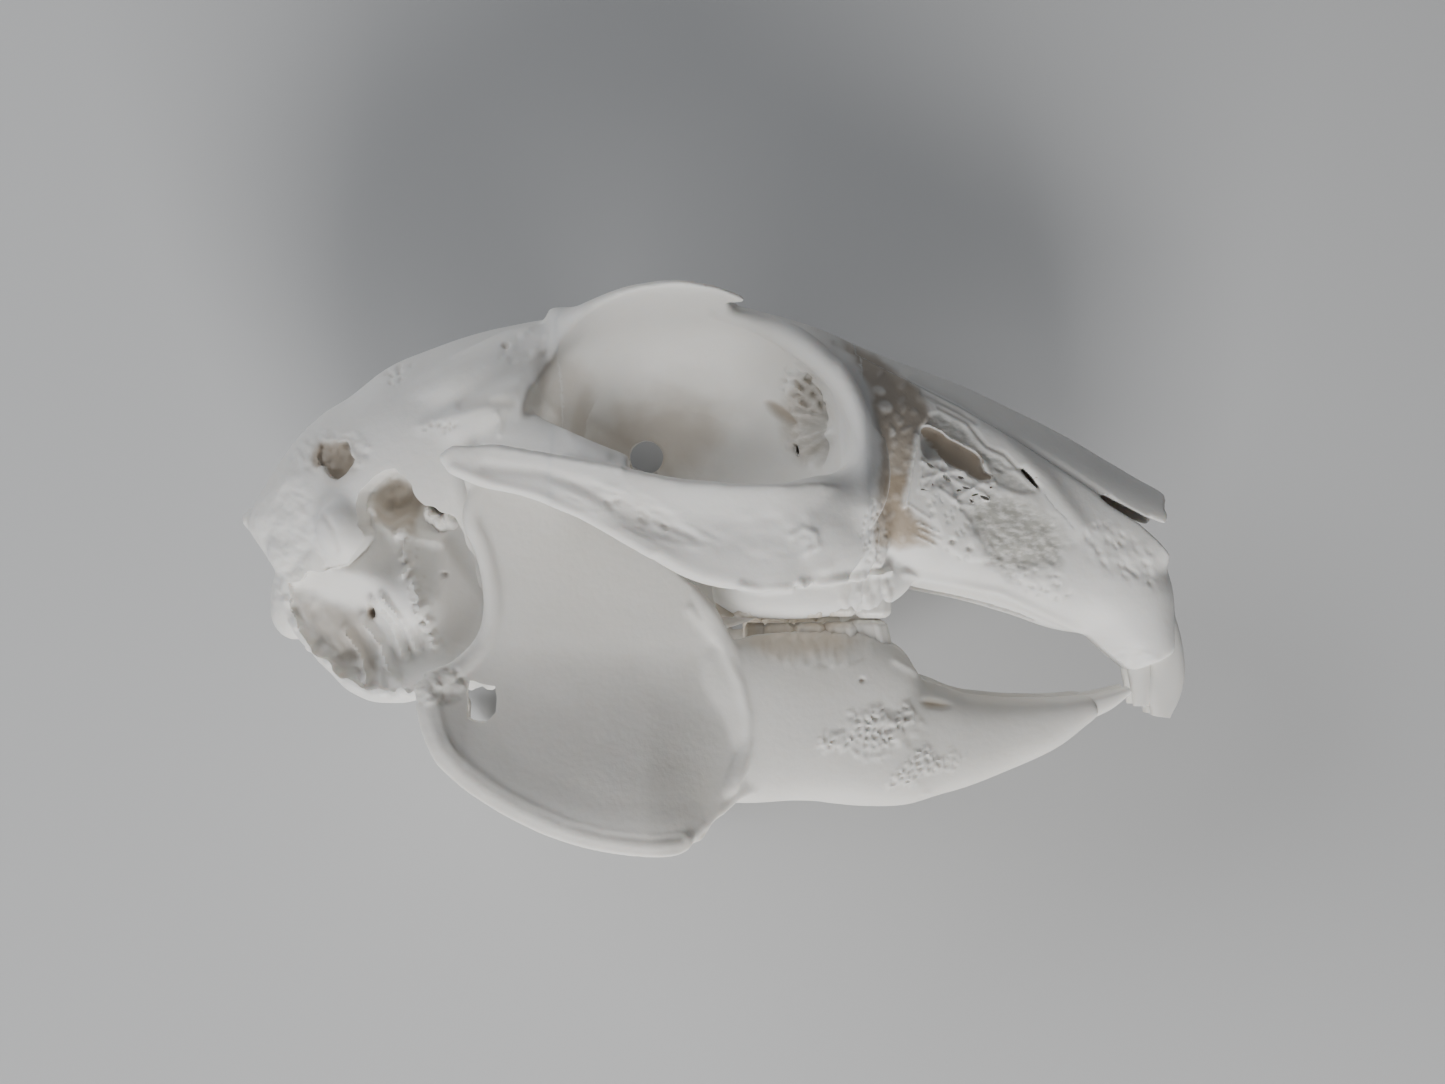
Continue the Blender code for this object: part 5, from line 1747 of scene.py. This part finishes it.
    def on_wall(self, outline: Path, depth: float, side: Side) -> Thing:
        """A cutter over this outline that goes this deep below the skull's own side wall.

        Args:
            outline: The opening, in the side view.
            depth: How deep it goes.
            side: The side.

        Returns:
            The closed cutter.
        """
        cutter = remesh(prism("on_wall", outline, 0, self.wall_cutter, side), self.fineness.block)

        def follow(points: np.ndarray) -> np.ndarray:
            """Carries the cutter's floor onto the wall."""
            x, y, _ = points.T
            return columns(0, 0, side.value * (self.wall(x, y) - depth))

        return bend(cutter, follow)

    def hollows(self) -> list[Thing]:
        """The brain case, the nose and every opening into them.

        Returns:
            The closed cutters.
        """
        brain = [
            (-38.5, 5, -2.6, 3.4, 0.50, 2.2, 2.2), (-36.2, 8.4, -4.6, 6.6, 0.50, 2.3, 2),
            (-32.5, 13, -5.6, 9.6, 0.50, 2.3, 2), (-27, 16.2, -5.2, 11.2, 0.50, 2.4, 2),
            (-22, 18, -3.6, 10.6, 0.52, 2.3, 2), (-18.2, 18.6, -0.6, 7.6, 0.58, 2.2, 2),
            (-15.4, 17.6, 5, 4, 0.60, 2, 2),
        ]
        nose = [
            (13, 14.6, 5, 2.4, 0.45, 2, 2), (17, 14.4, 0.6, 5.6, 0.42, 2, 2),
            (22, 12.8, -1.6, 6, 0.40, 2, 2), (28, 10.2, -2.4, 5.2, 0.42, 2.1, 2),
            (34, 7, -2.4, 4.4, 0.46, 2.2, 2), (39, 4.2, -1.6, 3.9, 0.50, 2.2, 2),
            (45, 0.6, -1, 3.4, 0.50, 2.2, 2),
        ]
        nostril = [
            (33.6, 5.2), (36.2, 3.9), (39.3, 2.3), (41.8, 1.5), (47, 1.2), (47, -4), (41.7, -1.2),
            (40.3, 0.2), (38.6, 1.7), (35.8, 3.4),
        ]
        nasal_tip = [(41.7, 6), (41.3, 3), (41.2, 0.6), (47, -0.2), (47, 8)]
        great_hole = [(-47, -4.6, 0, 3.8, 4), (-41, -3.6, 0, 3.7, 4), (-35, -0.6, 0, 3.6, 4.2)]
        throat = [
            (-9, -9.6, 0, 2, 2.6), (-3, -5.4, 0, 2.2, 2.6), (3, -1.6, 0, 1.9, 2.4), (10, 2, 0, 2, 2.4),
            (19, 4, 0, 2, 2.4),
        ]
        cutters = [
            body_loft("brain", brain),
            body_loft("nose", nose),
            prism("nostril", nostril, -12, 12),
            prism("nasal_tip", ragged(nasal_tip, 0.35, 67), -12, 12),
            sweep("great_hole", great_hole),
            sweep("throat", throat),
            prism("optic_hole", oval((-7.2, 8), (1.6, 1.6)), -3, 3),
            prism("mastoid_window", ragged(self.mastoid_window, 0.5, 63), 8.4, 22),
            prism("ear_canal", oval((-29.4, 2.8), (2.4, 2.4)), -18, -8),
            prism("thin_slot", self.thin_slot, 3.2, 12),
        ]
        slits = [self.on_wall(ragged(self.face_slit, 0.15, 65), self.slit_depth, side) for side in Side]
        slots = [lump("palate_slot", (20.5, -5.4, 2.3), (9.5, 5.2, 1.5), side) for side in Side]
        return cutters + [joined("slits", slits), joined("palate_slots", slots)]

    def small_cuts(self) -> list[Thing]:
        """The pits and the crack in the thin bone of the face.

        Returns:
            All the cutters as one.
        """
        cutters = []
        for side in Side:
            for x, y, half_length, half_width, turn in self.pits:
                x, y = self.pit_scale * x, self.pit_scale * y
                z = float(self.wall(np.array([x]), np.array([y]))[0])
                radii = (half_length, half_width, self.pit_depth)
                cutters.append(lump("pit", (x, y, z), radii, side, (0, 0, turn)))
            cutters.append(lump("tear_hole", (7, 8.6, 3.4), (0.18, 0.46, 1.5), side, (0, 0, 10)))
            cutters.append(self.blade(self.crack, self.crack_width, 5.6, 12, side))
        return [joined("small_cuts", cutters)]

    def blade(
        self, line: Path, thickness: float, low: float = -16, high: float = 16, side: Side = Side.RIGHT
    ) -> Thing:
        """A blade along a line in the side view, through the skull from low to high.

        Args:
            line: The line's corners.
            thickness: How thick the blade is.
            low: Where it starts, out from the midline.
            high: Where it ends.
            side: The side that low and high are measured on.

        Returns:
            The closed blade.
        """
        corners = np.array(line, float)
        normals = []
        for i in range(len(corners)):
            run = corners[min(i + 1, len(corners) - 1)] - corners[max(i - 1, 0)]
            normals.append(np.array((-run[1], run[0])) / np.linalg.norm(run))
        shift = np.array(normals) * thickness / 2
        outline = list(map(tuple, corners + shift)) + list(map(tuple, (corners - shift)[::-1]))
        return prism("blade", outline, low, high, side)

    def inner_bones(self) -> list[Thing]:
        """What shows inside the nose and through the broken ear region.

        Returns:
            The closed masses.
        """
        things = [lump("inner_ear", (-30.5, -0.5, -8.6), (4.6, 4.8, 3.4))]
        scrolls = [
            (14, 8.6, 2.4, 2, 1), (19, 8, 2.8, 3.6, 1.2), (27, 4.6, 2.4, 3.2, 1.1), (35, 1.6, 2, 1.8, 0.9),
        ]
        things += [sweep("scrolls", scrolls, side) for side in Side]
        bone = prism("ear_bone", self.ear_bone, 0.0, self.ear_block)

        def sink(points: np.ndarray) -> np.ndarray:
            """Lowers the block's outer face towards its hind corner and draws its root in.

            Args:
                points: Points of the block.

            Returns:
                How far each one moves.
            """
            x, y, z = points.T
            depth = 0.30 * np.maximum(-(0.7 * (y + 5.0) + 0.7 * (x + 33.0)), 0)
            depth = (depth + 0.50 * np.maximum(-(x + 37.0), 0)) * smooth_step(z, 6.0, 8.0)
            drawn = 0.5 * smooth_step(5.6 - z, 0.0, 5.6)
            return columns(-drawn * (x + 29.5), -drawn * (y + 4.0), -depth)

        remesh(bone, self.fineness.block, self.fineness.block_rounds)
        return things + [bend(bone, sink), lump("mastoid_floor", (-34.6, 7.6, 5.6), (3.6, 3.6, 4))]

    def ear_recess(self) -> Thing:
        """A cutter that opens the right ear region down to its broken floor.

        Returns:
            The closed cutter.
        """
        cutter = prism("ear_recess", ragged(self.ear_outline, 0.4, 61), 0, 14)
        forms = ear_forms()

        def follow(points: np.ndarray) -> np.ndarray:
            """Gives the cutter's underside the forms of the floor."""
            view = points[:, :2] * self.eye / (self.eye - self.ear_seen_at)
            return columns(0, 0, self.ear_depth + sum(form.height * form.cover(view) for form in forms))

        return bend(remesh(cutter, self.fineness.recess), follow)

    def build(self, fitter: Fitter, finish: bpy.types.Material) -> None:
        """Fuses, hollows, carves and places the upper skull and its two nose bones.

        Args:
            fitter: Places the pieces.
            finish: The bone's material.
        """
        fine = self.fineness
        whole = fuse("trunk", self.trunk(), fine.bone, fine.trunk_rounds)
        sockets = joined("sockets", [self.socket(side) for side in Side])
        pit = ("tear_pit", (8.7, 11.6, 5.4), (4.2, 5, 1.7))
        tear_pits = joined("tear_pits", [lump(*pit, side, (0, 0, -20)) for side in Side])
        cut(whole, [sockets, tear_pits])
        limbs = self.limbs(Side.RIGHT) + self.limbs(Side.LEFT)
        whole = fuse("skull", [whole] + limbs, fine.bone, fine.skull_rounds)
        cut(whole, self.hollows())
        whole = fuse("skull", [whole] + self.inner_bones(), fine.skin, fine.inside_rounds)
        cut(whole, [self.ear_recess()] + self.small_cuts())
        keep(whole, islands(whole)[0])
        self.carve(whole)
        cut(whole, [self.blade(self.nasal_cut, self.suture)])
        half = self.midline_gap / 2
        cut(whole, [prism("midline", [(12.2, 17), (12.2, 40), (60, 40), (60, -12)], -half, half)])
        largest, *nasals = islands(whole)[:3]
        cranium = keep(copy_of(whole, "cranium"), largest)
        noses = [keep(copy_of(whole, "nasal"), part) for part in nasals]
        bpy.data.objects.remove(whole)
        replaced = {
            "back_of_skull": ("occiput", "braincase"),
            "middle_of_skull": ("frontal", "skull_base", "zygomatic_arch_right", "zygomatic_arch_left"),
            "face": ("maxilla", "premaxilla_right", "premaxilla_left"),
        }
        seams = tuple(place + way * self.lap for place in self.parts_at for way in (-1, 1))
        cuts = ([(seams[1], 60)], [(-60, seams[0]), (seams[3], 60)], [(-60, seams[2])])
        for (name, nodes), ends in zip(replaced.items(), cuts):
            piece = cut(copy_of(cranium, name), [slab(*end) for end in ends])
            fitter.place(thin_out(piece, fine.most_triangles), finish, Slot.BONE, nodes, seams=seams)
        bpy.data.objects.remove(cranium)
        for nose in noses:
            side = Side.RIGHT if vectors(nose.data.vertices, "co")[:, 2].mean() > 0 else Side.LEFT
            nose.name = f"nasal_bone_{side.tag}"
            fitter.place(nose, finish, Slot.BONE, (f"nasal_{side.tag}",))

    def carve(self, thing: Thing) -> None:
        """The relief, the stains and the painted shade of the bone.

        Args:
            thing: The whole upper skull.
        """
        relief = Relief(thing, self.eye)
        x, y, z = relief.points.T
        rough_back = smooth_step(-x, 33.0, 38.0)
        relief.undulate(6, 0.07, 3)
        relief.undulate(1.8, 0.16, 4, rough_back)
        relief.undulate(0.8, 0.03, 6, rough_back)
        relief.draw(rear_marks() + socket_marks() + face_marks())
        buried = self.wall(x, y) - np.abs(z)
        # Painted shade: the inner walls of the nose and of the brain case are painted brown.
        painted_nose_shade = smooth_step(buried, 1.5, 2.6) * smooth_step(x, 13.0, 15.0) * (y > -3)
        painted_brain_shade = smooth_step(buried, 2.2, 5.0) * smooth_step(-x, 16.0, 20.0)
        painted_brain_shade *= smooth_step(5.4 - np.abs(z), 0.0, 0.8) * (0.7 + 0.5 * cloud(relief.points, 3.0, 15))
        relief.stain_and_shade = np.maximum(relief.stain_and_shade, 0.72 * painted_nose_shade)
        relief.stain_and_shade = np.maximum(relief.stain_and_shade, 0.42 * painted_brain_shade)
        relief.stain_and_shade += 0.06 * cloud(relief.points, 4.0, 16) * rough_back
        relief.apply()


@dataclass
class Dentition:
    """The cheek teeth and the front teeth of both jaws."""

    eye: float
    bite: float = -7.3
    upper_root: float = -1.6
    lower_root: float = -13.0
    upper_out: float = 7.3
    lower_out: float = 6.9
    rib: float = 0.95
    rib_depth: float = 0.045
    rings: int = 24
    count: int = 72
    # how much painted shade browns the hinder cheek teeth; the next field browns every cheek tooth a little
    shade_tint: float = 0.50
    least_shade_tint: float = 0.04
    upper: Path = (
        (13.7, 1.75, 1.7), (10.7, 1.62, 2.1), (7.9, 1.56, 2.15), (5.1, 1.56, 2.1), (2.4, 1.5, 1.9),
        (0.3, 0.95, 1.1),
    )
    lower: Path = ((13.9, 1.95, 1.8), (10.7, 1.7, 1.9), (7.9, 1.62, 1.9), (5.2, 1.6, 1.8), (3, 1, 1.3))

    def cheek_tooth(
        self, place: Point, half_length: float, half_width: float, crown: float, lean: float, side: Side
    ) -> Thing:
        """One cheek tooth, ribbed from its root to its crown, where its edge is rounded.

        Args:
            place: Middle of the tooth's root.
            half_length: Half its size along the jaw.
            half_width: Half its size across the jaw.
            crown: Height at which it ends.
            lean: How far its crown stands ahead of its root.
            side: Side of the skull.

        Returns:
            The closed tooth.
        """
        x, root, z = place
        rings = []
        for t in np.linspace(0, 1, self.rings):
            worn = 1 - 0.30 * max(0.0, (t - 0.90) / 0.10) ** 2
            ring = []
            for k in range(self.count):
                a, b = rounded(2 * math.pi * k / self.count, 3.4)
                rib = 1 + self.rib_depth * math.cos(2 * math.pi * a * half_length / self.rib)
                across = (z + b * half_width * rib * worn) * side.value
                ring.append((x + lean * t + a * half_length * worn, root + (crown - root) * t, across))
            rings.append(ring)
        return loft("tooth", rings)

    def row(self, side: Side, is_upper: bool) -> list[Thing]:
        """The cheek teeth of one side and one jaw, from the front tooth back.

        Args:
            side: The side.
            is_upper: Whether the upper jaw's teeth are meant.

        Returns:
            The teeth.
        """
        sizes, root, out = self.lower, self.lower_root, self.lower_out
        if is_upper:
            sizes, root, out = self.upper, self.upper_root, self.upper_out
        teeth = []
        for i, (x, half_length, half_width) in enumerate(sizes):
            worn = 0.04 * (i % 2)
            crown = self.bite + 0.06 + worn if is_upper else self.bite - 0.08 - worn
            crown += 0.35 if is_upper and i else 0.0
            z = out - 0.010 * (x - 4.0) ** 2
            lift = 0.3 * float(smooth_step(x, 9.0, 14.0))
            lean = -1.3 if i == 0 and not is_upper else 0.0
            x = x + 0.5 if lean else x
            place = (x, root + lift, z)
            teeth.append(self.cheek_tooth(place, half_length, half_width, crown + lift, lean, side))
        return teeth

    def front_teeth(self, side: Side, is_upper: bool) -> list[Thing]:
        """The long front tooth of one side, and the peg tooth behind an upper one.

        Args:
            side: The side.
            is_upper: Whether the upper jaw's teeth are meant.

        Returns:
            The teeth.
        """
        if is_upper:
            front = [
                (38.6, -2.4, 1.75, 1.5, 1.3), (41, -7.4, 1.75, 1.6, 1.35), (41.8, -11.6, 1.75, 1.65, 1.35),
                (41.5, -14.2, 1.75, 1.55, 1.3), (41.2, -16.4, 1.75, 0.85, 1.25),
            ]
            peg = [(38.4, -8, 1.6, 1, 1), (39.3, -12.2, 1.6, 1.15, 1), (39.5, -15.4, 1.6, 0.8, 0.8)]
            return [sweep("front", front, side, power=2.8), sweep("peg", peg, side)]
        front = [
            (28, -17.2, 1.8, 1.3, 1.25), (33, -15.9, 1.8, 1.2, 1.25), (36, -15, 1.75, 0.9, 1.2),
            (38.2, -13.9, 1.7, 0.35, 1.1),
        ]
        return [sweep("front", front, side, power=2.8)]

    def build(self, fitter: Fitter, finish: bpy.types.Material) -> None:
        """Joins the teeth of each jaw and side in one piece, paints shade on the hinder cheek teeth and
        places them.

        Args:
            fitter: Places the pieces.
            finish: The enamel.
        """
        for is_upper, side in itertools.product((True, False), Side):
            name = f"{'upper' if is_upper else 'lower'}_teeth_{side.tag}"
            piece = joined(name, self.row(side, is_upper) + self.front_teeth(side, is_upper))
            relief = Relief(piece, self.eye)
            x = relief.points[:, 0]
            # Painted shade: the cheek teeth behind x 9 to 13 mm are painted browner, and every cheek tooth
            # a little.
            shade_tint = self.shade_tint * (1 - smooth_step(x, 9.0, 13.0)) + self.least_shade_tint
            relief.stain_and_shade += np.where(x < 20, shade_tint, 0.0)
            relief.apply()
            fitter.place(piece, finish, Slot.BONE if is_upper else Slot.JAW, sharp=60)


@dataclass
class LowerJaw:
    """One half of the lower jaw."""

    side: Side
    fineness: Fineness
    eye: float
    flare: float = 5.6
    reach_back: float = 2.0
    rim_fill: float = 0.20
    plate_half: float = 0.62
    right_hole: Path = ((-22.1, -12.1), (-19.8, -12.4), (-19.7, -14.7), (-20.4, -15.5), (-22.2, -15.4))
    left_hole: Path = ((-26.8, -15.2), (-22.8, -14.9), (-22.6, -18.4), (-24.2, -19.3), (-26.4, -18.8))
    stands_out: Path = ((-27, 17), (-22, 14.9), (-10, 13), (0, 11), (6, 9.6), (12, 7.6), (20, 4.6))
    outline: Path = (
        (-21.6, 5.6), (-18.6, 5.8), (-15.5, 4.2), (-12, 2.6), (-8, 0.4), (-4.5, -2.1), (-2.4, -4.1),
        (-0.8, -6.3), (1.4, -9.8), (6, -12.7), (6, -21.7), (1.4, -23), (-0.8, -24.6), (-1.8, -26.2),
        (-3.6, -26.6), (-6.4, -26.6), (-10.5, -26), (-13.9, -25), (-17.4, -23.6), (-20.6, -21.7),
        (-23, -19.6), (-24.6, -17.6), (-25.8, -13.8), (-25.9, -11.3), (-23.4, -10.8), (-21.6, -9.3),
        (-20.4, -5.9), (-20.8, -2.9), (-21.8, 0.1), (-22.6, 2.8),
    )
    low: Path = (
        (-25.6, -12.1), (-25.1, -15.2), (-24, -17.8), (-22.3, -19.6), (-20, -21.3), (-17, -23),
        (-13.6, -24.5), (-10.2, -25.5), (-6.2, -26.1), (-3.8, -26.1),
    )

    def out(self, x: np.ndarray | float, y: np.ndarray | float) -> np.ndarray:
        """How far out from the midline the plate stands at places in the side view.

        Args:
            x: How far along the skull each place is.
            y: How high it is.

        Returns:
            The distance at each place.
        """
        xs, outs = zip(*self.stands_out)
        base = np.interp(x, xs, outs)
        flared = smooth_step(-np.asarray(y), 9.0, 26.0) * smooth_step(-np.asarray(x), -4.0, 7.0)
        return base + self.flare * flared

    def along(self, points: Path, depth: float, width: float, extra: float = 0.0) -> Path:
        """Stations of a rim that follows the plate."""
        return [(x, y, float(self.out(x, y)) + extra, depth, width) for x, y in points]

    def masses(self) -> list[Thing]:
        """The plate, its rims, the tooth-bearing body and the joint knob.

        Returns:
            The closed masses.
        """
        plate = remesh(prism("plate", self.outline, -self.plate_half, self.plate_half), self.fineness.bone)

        def stand(points: np.ndarray) -> np.ndarray:
            """Stands the plate out from the midline."""
            x, y, _ = points.T
            return columns(0, 0, self.side.value * self.out(x, y))

        bend(plate, stand)
        back = [
            (-21.2, 5.1), (-21.9, 2.1), (-20.9, -0.5), (-20.2, -3.5), (-20.1, -6.3), (-20.9, -8.9),
            (-23, -11.1), (-25.4, -12.1),
        ]
        low_end = [(-2.7, -25.5), (-2, -24.8)]
        ridge = [
            (-1.4, -6.1), (-0.2, -8.2), (0.9, -10.2), (1.8, -13), (2.2, -15.8), (1.9, -18.6), (0.8, -21.2),
        ]
        body = [
            (-3.5, -14.6, 11.4, 6.8, 1.2), (1, -16, 9.8, 7.6, 2.3), (6, -15.8, 8.2, 7.8, 3.1),
            (10.6, -15.8, 6.9, 8, 3.2), (13, -16.1, 6.2, 7.7, 3.1), (15, -16.8, 5.6, 6.4, 2.9),
            (17, -17.6, 5.1, 4.2, 2.3),
        ]
        front = [
            (6, -18.4, 7.6, 4.8, 2.8), (11, -18.5, 6.7, 5.6, 3.2), (15.4, -18.4, 5.7, 6, 3.2),
            (18.6, -18.3, 4.7, 5.6, 3), (22, -18.4, 3.7, 4.6, 2.8), (26, -17.9, 2.9, 3.6, 2.6),
            (30, -17.1, 2.5, 2.7, 2.3), (33, -16, 2.2, 1.75, 2), (35, -15.3, 1.9, 1.15, 1.6),
        ]
        knob = [(-22.6, 5.2, 14.6, 0.9, 1), (-20.6, 5.7, 14.5, 1, 1.4), (-17.8, 5.3, 14.2, 0.9, 1)]
        ridge_ends = self.along([(-3.2, -3.6)], 0.4, 0.4), self.along([(-0.6, -23)], 0.3, 0.3)
        rims = {
            "back_rim": self.along(back, 0.9, 1.0),
            "low_rim": self.along(self.low, 1.0, 0.95) + self.along(low_end, 0.5, 0.6),
            "ridge": ridge_ends[0] + self.along(ridge, 0.8, 0.7, 0.5) + ridge_ends[1],
        }
        masses = sweeps({"body": body, "front": front}, self.side, 2.5)
        return [
            plate,
            *sweeps(rims, self.side),
            fuse("body", masses, self.fineness.jaw_body, self.fineness.jaw_body_rounds),
            sweep("knob", knob, self.side),
        ]

    def hind_shift(self, points: np.ndarray) -> np.ndarray:
        """Carries the jaw's hind edge a little further back."""
        return columns(-self.reach_back * smooth_step(-points[:, 0], 16.0, 24.5), 0, 0)

    def build(self, fitter: Fitter, finish: bpy.types.Material) -> None:
        """Fuses, cuts, carves and places this half of the jaw.

        Args:
            fitter: Places the piece.
            finish: The jaw's material.
        """
        bone = fuse(f"jaw_{self.side.tag}", self.masses(), self.fineness.skin, self.fineness.jaw_rounds)
        outline = self.right_hole
        if self.side is Side.LEFT:
            outline = self.left_hole
            bend(bone, self.hind_shift)
        hole = prism("hole", ragged(outline, 0.22, 71), 8, 24, self.side)
        midline = prism("midline", [(-10, -45), (50, -45), (50, 5), (-10, 5)], 0.15, -20, self.side)
        cut(bone, [hole, midline])
        keep(bone, islands(bone)[0])
        relief = Relief(bone, self.eye)
        relief.undulate(5, 0.06, 91)
        relief.undulate(1.2, 0.10, 92, smooth_step(-relief.points[:, 0], 23.5, 26.0))
        relief.draw(jaw_marks(), (self.side,))
        from_rim = path_distance(relief.points[:, :2], self.low)
        filled = smooth_step(from_rim, 0.45, 0.9) * (1 - smooth_step(from_rim, 0.9, 4.0))
        relief.shift += self.rim_fill * filled * smooth_step(np.abs(relief.normals[:, 2]), 0.2, 0.6)
        relief.apply()
        thin_out(bone, self.fineness.most_triangles)
        fitter.place(bone, finish, Slot.JAW, (f"mandible_{self.side.tag}",))


@dataclass
class EarBubble:
    """The bubble of the middle ear with its upright tube, which only the left side still has."""

    eye: float
    side: Side = Side.LEFT
    voxel: float = 0.22
    rounds: int = 3

    def build(self, fitter: Fitter, finish: bpy.types.Material) -> None:
        """Fuses, carves and places the bubble.

        Args:
            fitter: Places the piece.
            finish: The bubble's material.
        """
        tube = [(-28.6, -3.0, 10.4, 2.7, 2.0), (-30.6, 1.6, 12.4, 2.4, 1.9), (-32.4, 6.2, 13.6, 2.1, 1.8)]
        masses = [
            lump("bulla", (-28.6, -6.8, 8.4), (6.4, 6.6, 4.2), self.side, (0, 0, 18)),
            sweep("ear_tube", tube, self.side),
        ]
        bubble = fuse("ear_bubble_left", masses, self.voxel, self.rounds)
        relief = Relief(bubble, self.eye)
        relief.undulate(3.0, 0.08, 95)
        relief.undulate(0.9, 0.04, 96)
        relief.apply()
        fitter.place(bubble, finish, Slot.ROUGH, ("tympanic_bulla_left",))


@dataclass(frozen=True)
class Lamp:
    """A square soft light that looks at the skull, in metres and watts."""

    name: str
    place: Point
    size: float
    power: float
    colour: Point = (1, 1, 1)

    def build(self) -> None:
        """Hangs the lamp in the scene."""
        data = bpy.data.lights.new(self.name, "AREA")
        data.shape = "SQUARE"
        data.size = self.size
        data.energy = self.power
        data.color = self.colour
        lamp = linked(self.name, data)
        lamp.location = self.place
        lamp.rotation_euler = Vector(self.place).to_track_quat("Z", "Y").to_euler()


@dataclass(frozen=True)
class Studio:
    """A pale floor, soft lights and the camera of the photograph."""

    seat: Matrix
    distance: float
    pixel: float = 0.095  # millimetres that a pixel of the photograph spans at the skull's midplane
    frame_width: int = 1445
    sensor: float = 36.0
    floor_half: float = 1.5
    floor_roughness: float = 0.85
    floor_colour: Point = (0.58, 0.585, 0.59, 1)
    sky_colour: Point = (0.80, 0.86, 0.95, 1)
    sky_strength: float = 0.06
    lamps: tuple[Lamp, ...] = (
        Lamp("key", (0.03, -0.42, 0.23), 0.26, 2.9, (1.0, 0.99, 0.975)),
        Lamp("fill", (-0.38, 0.20, 0.26), 0.34, 1.3, (0.96, 0.975, 1.0)),
        Lamp("top", (0.10, 0.12, 0.60), 0.40, 0.15),
    )

    def camera(self) -> None:
        """Looks square at the skull's right side."""
        data = bpy.data.cameras.new("camera")
        data.sensor_width = self.sensor
        data.lens = self.sensor * self.distance / (self.frame_width * self.pixel)
        data.clip_start = 0.001
        camera = linked("camera", data)
        camera.matrix_world = self.seat @ Matrix.Translation((0, 0, self.distance * MM))
        bpy.context.scene.camera = camera

    def floor(self) -> None:
        """A wide pale grey table top."""
        mesh = bmesh.new()
        bmesh.ops.create_grid(mesh, x_segments=2, y_segments=2, size=self.floor_half)
        piece = finished("floor", mesh)
        settings = {"Base Color": self.floor_colour, "Roughness": self.floor_roughness}
        piece.data.materials.append(Graph("floor", settings).material)

    def build(self) -> None:
        """Sets up the floor, the lights and the camera."""
        self.camera()
        self.floor()
        for lamp in self.lamps:
            lamp.build()
        world = bpy.context.scene.world or bpy.data.worlds.new("world")
        bpy.context.scene.world = world
        world.use_nodes = True
        background = world.node_tree.nodes["Background"]
        background.inputs["Color"].default_value = self.sky_colour
        background.inputs["Strength"].default_value = self.sky_strength


def corners(box: tuple[Vector, Vector]) -> list[list[float]]:
    """A box's two corners as plain lists."""
    return [list(corner) for corner in box]


def main() -> None:
    """Builds every piece in order and logs how many pieces there are."""
    logging.basicConfig(level=logging.INFO, format="%(name)s: %(message)s")
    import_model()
    seat = Seat().matrix()
    fineness = Fineness()
    fitter = Fitter(seat)
    skull_bone = BoneFinish("skull_bone").build()
    # the jaw's tan: real stains and painted shade
    jaw_finish = BoneFinish(
        "jaw_bone", white=(0.77, 0.755, 0.72), cream=(0.72, 0.70, 0.645), shade=(0.56, 0.41, 0.24)
    )
    jaw_bone = jaw_finish.build()
    ear_bone = BoneFinish("ear_bone", cream=(0.72, 0.67, 0.57)).build()
    enamel = ToothFinish().build()
    UpperSkull(fineness, EYE).build(fitter, skull_bone)
    for side in Side:
        LowerJaw(side, fineness, EYE).build(fitter, jaw_bone)
    Dentition(EYE).build(fitter, enamel)
    EarBubble(EYE).build(fitter, ear_bone)
    Studio(seat, EYE).build()
    LOG.info("%d pieces", len(fitter.made))


if __name__ == "__main__":
    main()
